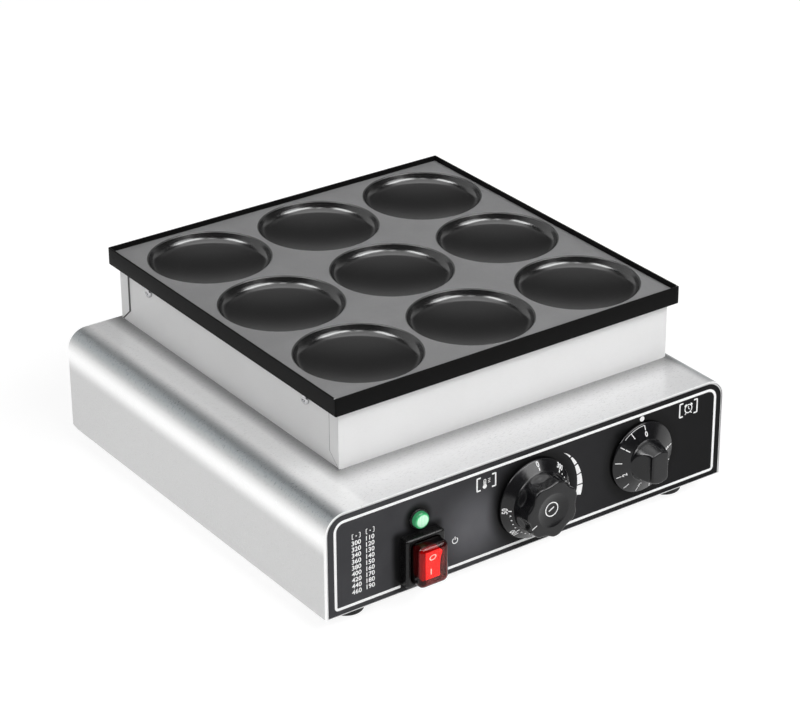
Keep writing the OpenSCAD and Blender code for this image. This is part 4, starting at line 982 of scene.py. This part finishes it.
class BuildSwitch(bpy.types.Operator):
    """Builds the switch: black base with its seat, lit rocker with its marks, and the clear red boot"""
    bl_idname = "pancake.build_switch"
    bl_label = "Build the switch"

    def execute(self, context):
        colours, place = context.scene.pancake_colours, on_front(*SWITCH)
        self.build_base(place)
        self.build_boot(place, colours)
        self.build_rocker(place, colours)
        return {"FINISHED"}

    def build_base(self, place):
        """The box behind the panel, the flange with its round front edge, the boot's seat and the
        rocker's well."""
        black = plain_finish("switch_nylon", (0.007, 0.007, 0.007), 0.3, spot=0.7, depth=0.02,
                             Specular_IOR_Level=0.3)
        box, well = round_box(13.5, 16.1, 0.6), round_box(8.0, 13.5, 0.5)
        half_u, half_v, corner, edge, shoulder = 15.8, 18.4, 2.2, 1.8, 5.9
        flange = round_box(half_u, half_v, corner)
        rows = [(box * 0, -23.7), (box, -23.7), (box, 0.0), (flange, 0.0), (flange, shoulder)]
        for t in np.radians(np.linspace(15, 90, 6)):
            inset = edge * (1 - math.cos(t))
            rows.append((round_box(half_u - inset, half_v - inset, corner), shoulder + edge * math.sin(t)))
        rows += [(round_box(12.6, 16.1, 4.4), 7.7), (round_box(12.35, 15.85, 4.3), 7.4),
                 (round_box(12.3, 15.8, 4.3), 4.5), (well, 4.5), (well, -8.5), (well * 0, -8.5)]
        make_piece("switch_body", [skin(place(loft(rows)))], [black.material], "base",
                   ["switch_base"], 35)

    def build_boot(self, place, colours):
        """The clear boot of two skins, with its sides darkened by painted shade and the rocker's light
            painted pale in front of the rocker.
        """
        clear = Finish("boot_clear_red", colours.boot, 0.12, Transmission_Weight=0.96, IOR=1.15,
                       Specular_IOR_Level=0.4, Coat_Weight=0.35, Coat_Roughness=0.12)
        rocker_glow_painted = clear.times(clear.span(clear.near(clear.x, SWITCH[0] / 1000), 0.0074, 0.0082, 1.0, 0.0),
                             clear.span(clear.near(clear.z, SWITCH[1] / 1000), 0.0114, 0.0126, 1.0, 0.0))
        # Painted shade on the sides, painted rocker light in front
        outside = clear.span(clear.y, -0.1828, -0.1838)
        clear.paint(clear.maths("SUBTRACT", 1.0, outside), (0.02, 0.0008, 0.0008))
        clear.paint(clear.times(rocker_glow_painted, outside), (1.0, 0.34, 0.30))
        clear.mottle(clear.noise(6), 0.15).relief(clear.noise(3), 0.05, 0.3)
        outer = boot_skin(12, 15.5, corner=4, shoulder=14.5, width=4.5, rise=4.0, least=1.5)
        inner = boot_skin(11, 14.5, corner=3.2, shoulder=14.3, width=3.6, rise=3.2, least=1.2)
        make_piece("sealing_boot", [skin(place(loft(outer[::-1] + inner)))], [clear.material],
                   "base", ["switch_boot"], 50)

    def build_rocker(self, place, colours):
        """The lit rocker on its two pins, with a ring and a stroke on its dished front."""
        lit = Finish("rocker_lit", colours.rocker, 0.3, Emission_Color=(1.0, 0.012, 0.004, 1.0),
                     Emission_Strength=1.2)
        lit.mottle(lit.noise(4), 0.06).relief(lit.noise(1), 0.01, 0.2)
        white = plain_finish("rocker_ink", colours.ink, 0.4, spot=0.6, tint=0.03,
                             Emission_Color=(1, 1, 1, 1), Emission_Strength=2.2)
        half_u, half_v, pin, tilt = 7.5, 10.5, 1.5, math.radians(8)

        def front(v):
            """Height of the front: 11.9 in the middle and 1.6 more at both ends, by the square of v."""
            return 11.9 + 1.6 * (v / half_v) ** 2

        def tilted(p):
            """Turns the rocker by its tilt round its pins, 1.5 mm in front of the panel's face, and
            places it."""
            v = p[..., 1] * math.cos(tilt) - p[..., 2] * math.sin(tilt)
            w = p[..., 2] * math.cos(tilt) + p[..., 1] * math.sin(tilt)
            return place(np.stack([p[..., 0], v, w + 1.5], -1))

        def printed(p):
            """Lays a flat mark on the front."""
            return tilted(np.column_stack([p[:, :2], front(p[:, 1]) + p[:, 2]]))

        foot = round_box(7.2, 5, 0.8)
        rows = [level(foot * 0, -5.0), level(foot, -5.0), level(round_box(half_u, 5.4, 0.8), -4.6),
                level(round_box(half_u, half_v, 0.8), 5.0)]
        for inset, drop in ((0.0, 0.9), (0.12, 0.4), (0.5, 0.08), (0.9, 0.0)):
            outline = round_box(half_u - inset, half_v - inset, 0.9)
            rows.append(np.column_stack([outline, front(outline[:, 1]) - drop]))
        for t in (0.8, 0.6, 0.4, 0.2, 0.0):
            rows.append(np.column_stack([outline * t, front(outline[:, 1] * t)]))
        pins = moved(disc(pin, -9.7, 9.7), lambda p: p[:, ::-1])
        body = [moved(part, tilted) for part in (skin(np.stack(rows)), pins)]
        make_piece("lit_rocker", body, [lit.material], "rocker", ["switch_rocker"], 35)

        ring = moved(ribbon(arc_path(2.4, 0, 350, 10), 0.75, 0.05, 0.13, closed=True), shifted(0, 7.0))
        stroke = ribbon([(0, -7.4), (0, -5.2), (0, -3.0)], 0.75, 0.05, 0.13)
        make_piece("rocker_marks", [moved(ring, printed), moved(stroke, printed)], [white.material],
                   "rocker")


LENS_R, RIB_PITCH = 5.95, 1.2  # radius of the lens and distance between its ribs, in millimetres


def lens_finish(colour):
    """Lit green lens with painted light: a pale painted glow towards its middle, painted highlights in
    bars along its ribs, and painted shade at its edge.
    """
    glow = Finish("lens_green_lit", colour, 0.15, Emission_Color=(0.10, 0.60, 0.26, 1.0),
                  Emission_Strength=0.32, Specular_IOR_Level=0.5)
    out, across = glow.from_point(*LAMP), glow.maths("SUBTRACT", glow.x, LAMP[0] / 1000)
    bars = glow.span(glow.maths("SINE", glow.times(across, 2000 * math.pi / RIB_PITCH)), 0.0, 0.7)
    # Painted glow in the middle, painted highlights along the ribs, painted shade at the edge
    glow.paint(glow.span(out, 0.0040, 0.0050, 0.9, 0.0), (0.55, 0.90, 0.66))
    glow.paint(glow.times(glow.span(out, 0.0038, 0.0048, 0.9, 0.0), bars), (0.95, 1.0, 0.96))
    glow.paint(glow.span(out, 0.0047, 0.0057, 0.0, 0.95), (0.002, 0.07, 0.02))
    return glow.material


def lens_rows():
    """Rows of the lens: the dome's height is 4 + 1.9 sqrt(1 - (r / radius)^2.2), with upright ribs as a
    cosine that fades out towards the edge. The stem behind it follows."""
    segments = 72
    r = np.concatenate([np.linspace(0, 5.4, 25), [5.65, 5.85, LENS_R]])[:, None]
    a = (np.arange(segments) * 2 * np.pi / segments)[None]
    u, v = r * np.cos(a), r * np.sin(a)
    dome = 4.0 + 1.9 * np.sqrt(np.clip(1 - (r / LENS_R) ** 2.2, 0, 1))
    ribs = 0.06 * np.cos(2 * np.pi * u / RIB_PITCH) * np.clip((4.8 - r) / 0.8, 0, 1)
    stem = revolve([(LENS_R, 1.4), (4.5, 1.4), (4.5, -3.0), (0, -3.0)], segments)
    return np.concatenate([np.stack([u, v, dome + ribs], -1), stem])


class BuildLamp(bpy.types.Operator):
    """Builds the indicator lamp: a black bezel and a domed green lens with ribs"""
    bl_idname = "pancake.build_lamp"
    bl_label = "Build the lamp"

    def execute(self, context):
        lens, place = lens_finish(context.scene.pancake_colours.lens), on_front(*LAMP)
        black = plain_finish("bezel_nylon", (0.007, 0.007, 0.007), 0.3, spot=0.7, Specular_IOR_Level=0.3)
        rim = rounded([(4.6, 1.4), (7.1, 1.4), (7.2, 0.0), (5.2, 0.0), (5.2, -21.7), (4.6, -21.7)],
                      [0.7, 0.0, 0.0, 0.0], 5)
        make_piece("lamp_ring", [skin(place(revolve(rim, 72)), round_rows=True)], [black.material],
                   "base", ["lamp_bezel"], 35)
        make_piece("lamp_dome", [skin(place(lens_rows()))], [lens], "base", ["lamp_lens"], 40)
        return {"FINISHED"}


# Feet and cord inlet

class MouldFeet(bpy.types.Operator):
    """Moulds the four rubber feet with their rounded tread and screw recess"""
    bl_idname = "pancake.mould_feet"
    bl_label = "Mould the feet"

    def execute(self, context):
        rubber = plain_finish("foot_rubber_grained", (0.010, 0.010, 0.010), 0.62, spot=0.7, depth=0.05,
                              Specular_IOR_Level=0.3)
        profile = rounded([(5.0, 6.0), (5.0, 0.0), (12.0, 0.0), (13.0, 6.25), (13.0, 12.2), (8.0, 12.2),
                           (8.0, 13.5), (2.55, 13.5), (2.55, 6.0), (5.0, 6.0)],
                          [0.8, 1.4, 1.0, 0.3, 0.0, 0.0, 0.0, 0.0], 4)[:-1]
        foot = revolve(profile, 64)
        feet = [skin(standing(x, y)(foot), round_rows=True)
                for x in (-FEET[0], FEET[0]) for y in (-FEET[1], FEET[1])]
        make_piece("soft_feet", feet, [rubber.material], "base", ["rubber_feet"], 35)
        return {"FINISHED"}


INLET_ROUND = np.arange(120) * 2 * np.pi / 120  # angles of the columns of points round the inlet


def rings(profile):
    """Rows of circles from (radius, height) pairs."""
    return list(revolve(profile, len(INLET_ROUND)))


def nut_rows(across, low, high):
    """Rows of a hexagonal nut that is a width across its corners: the hexagon, cut at both ends by a cone
    that meets its corners. The hexagon's radius is half the width across its flats over cos of the angle
    from the nearest flat."""
    chamfer, flat = 0.9, across / 2 * math.cos(math.pi / 6)
    hexagon = flat / np.cos((INLET_ROUND + np.pi / 6) % (np.pi / 3) - np.pi / 6)
    cone = (flat + across / 2) / 2 + 0.1
    cuts = [(low, flat - 0.1), (low, flat + 0.15), (low + chamfer / 2, cone), (low + chamfer, across),
            (high - chamfer, across), (high - chamfer / 2, cone), (high, flat + 0.15), (high, flat - 0.1)]
    return [polar(np.minimum(hexagon, limit), INLET_ROUND, height) for height, limit in cuts]


class MouldInlet(bpy.types.Operator):
    """Moulds the cord inlet: threaded body with its hexagon, domed cap and locknut"""
    bl_idname = "pancake.mould_inlet"
    bl_label = "Mould the cord inlet"

    def execute(self, context):
        across = 24.0
        body = rings([(4.5, 16.0), (4.5, -11.2), (8.0, -11.2), (8.0, 0.0)])
        body += nut_rows(across, 0.0, 8.0) + rings([(7.0, 8.0), (7.0, 16.0)])

        cap = rings([(4.5, 22.8), (4.5, 16.1), (7.05, 16.0), (7.05, 8.0)]) + nut_rows(across, 8.0, 15.4)
        dome = rounded([(10.2, 15.4), (9.6, 19.5), (7.0, 22.8), (4.5, 22.8)], [4.0, 1.2], 6)[:-1]
        for k, (r, h) in enumerate(dome):
            grip = 0.35 * np.abs(np.sin(9 * INLET_ROUND)) * math.sin(math.pi * k / (len(dome) - 1))
            cap.append(polar(r - grip, INLET_ROUND, h))

        locknut = rings([(8.05, -1.2), (8.05, -7.2)]) + nut_rows(across, -7.2, -1.2)
        nylon = plain_finish("inlet_nylon", (0.010, 0.010, 0.011), 0.42, spot=0.7, depth=0.03,
                             Specular_IOR_Level=0.35)
        place = on_back(*INLET, BACK_Y)
        for name, rows, node in (("inlet_body", body, "cord_gland"), ("inlet_cap", cap, "gland_cap"),
                                 ("inlet_locknut", locknut, "gland_locknut")):
            make_piece(name, [skin(place(np.stack(rows)), round_rows=True)], [nylon.material],
                       "base", [node], 30)
        return {"FINISHED"}


# Printed marks on the label

def bracket(width, height, tongue, stroke):
    """A pair of square brackets round the origin, as two open bands."""
    high, low = height / 2, -height / 2
    parts = []
    for s in (-1, 1):
        inner, outer = s * (width / 2 - tongue), s * width / 2
        path = rounded([(inner, high), (outer, high), (outer, low), (inner, low)], [0.3, 0.3], 2)
        parts.append(ribbon(path, stroke, 0.0, LABEL_INK))
    return parts


def heat_scale():
    """Five arc bands beside the thermostat that grow: inner radius 36.7 to 38.7, outer 36.8 to 43.6."""
    marks = []
    for start, stop in ((44.5, 33.6), (31.4, 20.8), (19.0, 8.2), (6.8, -4.2), (-5.6, -16.0)):
        angle = np.linspace(start, stop, 9)
        grow = np.clip((44.5 - angle) / 52, 0, 1)
        inner, outer = 36.7 + 2.0 * grow ** 0.5, 36.8 + 6.8 * grow ** 0.75
        middle, turn = (inner + outer) / 2, np.radians(angle)
        path = np.stack([middle * np.cos(turn), middle * np.sin(turn)], 1)
        marks.append(ribbon(path, outer - inner, 0.0, LABEL_INK))
    return marks


class PrintLabel(bpy.types.Operator):
    """Prints the label's border, heat scale, number table, timer dot and plain pictures"""
    bl_idname = "pancake.print_label"
    bl_label = "Print the label"

    def execute(self, context):
        ink = print_finish("label_ink", context.scene.pancake_colours.ink)
        marks = []

        def put(patch, x, z):
            """Adds a flat patch at a place on the label."""
            marks.append(moved(patch, on_front(x, z)))

        def line(path, width, x, z, closed=False):
            """Adds a printed band along a path."""
            put(ribbon(path, width, 0.0, LABEL_INK, closed), x, z)

        def dot(radius, segments, x, z):
            """Adds a printed dot."""
            put(disc(radius, 0.0, LABEL_INK, segments), x, z)

        left, right, low, high = -163.2, 163.2, 18.1, 83.6
        gap = (SWITCH[0] - 15.9, SWITCH[0] + 15.9)
        path = rounded([(gap[1], low), (right, low), (right, high), (left, high), (left, low),
                        (gap[0], low)], [2.0, 7.2, 7.2, 2.0], 8)
        start, end = np.linspace(path[0], path[1], 4)[:-1], np.linspace(path[-2], path[-1], 4)
        line(np.concatenate([start, path[1:-2], end]), 2.0, 0, 0)
        for part in heat_scale():
            put(part, *THERMOSTAT)
        dot(2.0, 32, TIMER[0], TIMER[1] + 29.4)

        columns = ((-146.4, 0.0, 300, 20), (-135.3, 0.4, 110, 10))
        for row in range(9):
            for x, lift, first, step in columns:
                number = lettering(str(first + step * row), 3.4, LABEL_INK, weight=0.07, widen=1.06)
                put(number, x, 64.4 - 4.65 * row + lift)
        for x, lift, first, step in columns:
            for part in bracket(6.4, 3.6, tongue=1.0, stroke=0.45):
                put(part, x, 69.5 + lift)
            dot(0.45, 12, x, 69.5 + lift)

        # Thermometer between brackets
        for part in bracket(15.6, 9.6, tongue=3.0, stroke=1.1):
            put(part, -40.0, 74.4)
        tube = (-41.3, 74.0)
        line(rounded([(-0.85, -1.4), (-0.85, 3.0), (0.85, 3.0), (0.85, -1.4)], [0.8, 0.8], 5), 0.45, *tube)
        dot(1.7, 24, tube[0], tube[1] - 2.3)
        line([(0, -2.0), (0, 0), (0, 1.6)], 0.5, *tube)
        for k in range(3):
            line([(-0.9, 0), (0, 0), (0.9, 0)], 0.4, -37.6, 76.6 - 1.3 * k)

        # Clock between brackets
        for part in bracket(16.0, 10.4, tongue=3.0, stroke=1.1):
            put(part, 138.4, 75.2)
        clock = (138.4, 75.0)
        line(arc_path(3.2, 0, 350, 10), 0.7, *clock, closed=True)
        line([(0, 2.0), (0, 0.9), (0, 0)], 0.5, *clock)
        line([(0, 0), (0.7, -0.35), (1.4, -0.7)], 0.5, *clock)
        for s in (-1, 1):
            line(arc_path(4.2, 90 - s * 26, 90 - s * 58, 6), 0.9, *clock)
            line([(s * 2.2, -3.0), (s * 2.6, -3.6), (s * 3.0, -4.2)], 0.7, *clock)

        # Standby sign beside the switch
        standby = (-66.0, 38.0)
        line(arc_path(2.2, 125, 415, 8), 0.6, *standby)
        line([(0, 0.6), (0, 1.8), (0, 3.0)], 0.6, *standby)
        make_piece("label_marks", marks, [ink.material], "base", ["panel_print"])
        return {"FINISHED"}


# The studio

# Soft boxes in gloss: azimuth, half its span, elevation, half its span and soft edge in degrees, share
GLOSS_BOXES = (
    (22, 36, 50, 8, 2, 1.0),
    (-97.5, 24.5, 50, 8, 2, 1.0),
    (-36.6, 5, 56, 5, 2, 1.0),
    (25, 20, 34, 4, 3, 0.5),
)


def towards(azimuth, elevation):
    """Direction from the object at an azimuth, 0 towards the user, and an elevation in degrees."""
    a, e = math.radians(azimuth), math.radians(elevation)
    return Vector((math.sin(a) * math.cos(e), -math.cos(a) * math.cos(e), math.sin(e)))


def soft_box(name, direction, distance, width, height, radiance):
    """Area lamp that faces the object, with radiance x pi x area as its power, and isn't seen in gloss."""
    light = bpy.data.lights.new(name, "AREA")
    light.shape, light.size, light.size_y = "RECTANGLE", width, height
    light.energy = radiance * math.pi * width * height
    holder = bpy.data.objects.new(name, light)
    holder.location = direction.normalized() * distance + Vector((0, 0, 0.1))
    holder.rotation_euler = direction.to_track_quat("Z", "Y").to_euler()
    holder.visible_camera = False
    holder.visible_glossy = False
    bpy.context.scene.collection.objects.link(holder)
    return holder


class SetStage(bpy.types.Operator):
    """Sets the floor, the white surroundings, the soft boxes and the camera"""
    bl_idname = "pancake.set_stage"
    bl_label = "Set the stage"

    def execute(self, context):
        studio, scene = context.scene.pancake_studio, context.scene
        scene.view_settings.view_transform = "Standard"
        self.make_floor()
        self.make_world(studio)
        soft_box("key_box", towards(22, 45), distance=2.6, width=3.0, height=0.9, radiance=studio.key)
        soft_box("side_box", towards(-97, 43), distance=2.6, width=2.0, height=0.6, radiance=studio.side)
        self.make_camera(scene)
        return {"FINISHED"}

    def make_floor(self):
        """A wide square of pale paper. For the camera and in gloss its colour is lifted to white and
        keeps the object's shadow, and from below it can't be seen."""
        mesh = bpy.data.meshes.new("studio_floor")
        mesh.from_pydata([(-6, -6, 0), (6, -6, 0), (6, 6, 0), (-6, 6, 0)], [], [(0, 1, 2, 3)])
        floor = bpy.data.objects.new("studio_floor", mesh)
        bpy.context.scene.collection.objects.link(floor)
        paper = bpy.data.materials.new("studio_paper")
        paper.use_nodes = True
        mesh.materials.append(paper)
        made = Nodes(paper.node_tree)
        made.tree.nodes.clear()
        path = made.node("ShaderNodeLightPath").outputs
        plain = made.node("ShaderNodeBsdfDiffuse", (0.88, 0.88, 0.88, 1)).outputs[0]
        shaded = made.node("ShaderNodeBsdfDiffuse", (0.28, 0.28, 0.28, 1)).outputs[0]
        lift = made.node("ShaderNodeEmission", (1, 1, 1, 1), 0.84).outputs[0]
        white = made.node("ShaderNodeAddShader", shaded, lift).outputs[0]
        looked_at = made.maths("MAXIMUM", path["Is Camera Ray"], path["Is Glossy Ray"])
        above = made.node("ShaderNodeMixShader", looked_at, plain, white).outputs[0]
        from_below = made.node("ShaderNodeNewGeometry").outputs["Backfacing"]
        clear = made.node("ShaderNodeBsdfTransparent").outputs[0]
        surface = made.node("ShaderNodeMixShader", from_below, above, clear).outputs[0]
        made.node("ShaderNodeOutputMaterial", surface)

    def make_world(self, studio):
        """Surroundings by kind of ray: white for the camera and for glass, an even fill for the rest, and
        for gloss a sky that is white low at the sides, dim straight behind and in front, and light
        overhead, with soft boxes."""
        world = bpy.data.worlds.new("studio_world")
        bpy.context.scene.world = world
        world.use_nodes = True
        made = Nodes(world.node_tree)
        made.tree.nodes.clear()
        path = made.node("ShaderNodeLightPath").outputs
        direction = made.node("ShaderNodeTexCoord").outputs["Generated"]
        x, y, z = made.node("ShaderNodeSeparateXYZ", Vector=direction).outputs
        azimuth, elevation = made.maths("ARCTAN2", x, made.times(y, -1.0)), made.maths("ARCSINE", z)

        def climb(low, high, start, stop):
            """A light that goes from a start to a stop between two elevations in degrees."""
            return made.span(elevation, math.radians(low), math.radians(high), start, stop)

        def band(angle, middle, half, soft):
            """1 within half a span of a middle angle, with soft edges, in degrees."""
            low, high = math.radians(half - soft), math.radians(half + soft)
            return made.span(made.near(angle, math.radians(middle)), low, high, 1.0, 0.0)

        sides = climb(34, 45, 1.0, 0.1)
        behind = made.maths("ADD", climb(4, 26, 0.55, 0.10), climb(30, 48, 0.0, 0.40))
        sky = made.node("ShaderNodeMix", Factor=band(azimuth, 143.4, 39, 5), A=sides, B=behind).outputs[0]
        sky = made.times(sky, made.span(y, -0.3, 0.3, 0.12, 1.0))
        gloss = made.maths("ADD", sky, climb(52, 66, 0.0, 2.2))
        for middle, reach, height, rise, soft, share in GLOSS_BOXES:
            box = made.times(band(azimuth, middle, reach, soft), band(elevation, height, rise, soft),
                             share * studio.gloss)
            gloss = made.maths("ADD", gloss, box)
        white = made.maths("MAXIMUM", path["Is Camera Ray"], path["Is Transmission Ray"])
        glow = made.node("ShaderNodeMix", Factor=path["Is Glossy Ray"], A=studio.fill, B=gloss).outputs[0]
        glow = made.node("ShaderNodeMix", Factor=white, A=glow, B=1.0).outputs[0]
        light = made.node("ShaderNodeBackground", (1, 1, 1, 1), glow)
        made.node("ShaderNodeOutputWorld", light.outputs[0])

    def make_camera(self, scene):
        """Camera at the photograph's angle, with its azimuth, elevation and roll in degrees."""
        back, roll = towards(-36.574, 27.120), math.radians(0.284)
        right = (-back).cross(Vector((0, 0, 1))).normalized()
        up = right.cross(-back)
        c, s = math.cos(roll), math.sin(roll)
        right, up = right * c + up * s, up * c - right * s
        lens = bpy.data.cameras.new("photo_camera")
        lens.sensor_width, lens.lens = 36.0, 127.645
        lens.shift_x, lens.shift_y = -0.07746, 0.0063
        lens.clip_start, lens.clip_end = 0.05, 50.0
        camera = bpy.data.objects.new("photo_camera", lens)
        place = Matrix.Translation((-1.04490, -1.49421, 1.01359))
        camera.matrix_world = place @ Matrix((right, up, back)).transposed().to_4x4()
        scene.collection.objects.link(camera)
        scene.camera = camera


class PancakePanel(bpy.types.Panel):
    """Lists the pieces with their sizes and colours"""
    bl_idname = "VIEW3D_PT_pancake_maker"
    bl_label = "Pancake maker"
    bl_space_type = "VIEW_3D"
    bl_region_type = "UI"
    bl_category = "Pancake maker"

    def draw(self, context):
        for group in ("pancake_griddle", "pancake_knobs", "pancake_colours", "pancake_studio"):
            box = self.layout.box()
            values = getattr(context.scene, group)
            for name in values.__annotations__:
                box.prop(values, name)
        for operator in OPERATORS:
            self.layout.operator(operator.bl_idname)


GROUPS = {
    "pancake_griddle": GriddleSizes,
    "pancake_knobs": KnobSizes,
    "pancake_colours": Colours,
    "pancake_studio": Studio,
}
OPERATORS = (FinishCad, CastGriddle, FitScrews, MouldThermostat, MouldTimer, BuildSwitch, BuildLamp,
             MouldFeet, MouldInlet, PrintLabel, SetStage)


def register():
    """Registers the classes and hangs the groups of values on the scene."""
    for kind in (*GROUPS.values(), *OPERATORS, PancakePanel):
        bpy.utils.register_class(kind)
    for name, group in GROUPS.items():
        setattr(bpy.types.Scene, name, PointerProperty(type=group))


def unregister():
    """Takes the groups off the scene and the classes out again."""
    for name in GROUPS:
        delattr(bpy.types.Scene, name)
    for kind in reversed((*GROUPS.values(), *OPERATORS, PancakePanel)):
        bpy.utils.unregister_class(kind)


def main():
    """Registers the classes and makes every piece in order."""
    register()
    for operator in OPERATORS:
        group, name = operator.bl_idname.split(".")
        getattr(getattr(bpy.ops, group), name)()


if __name__ == "__main__":
    main()
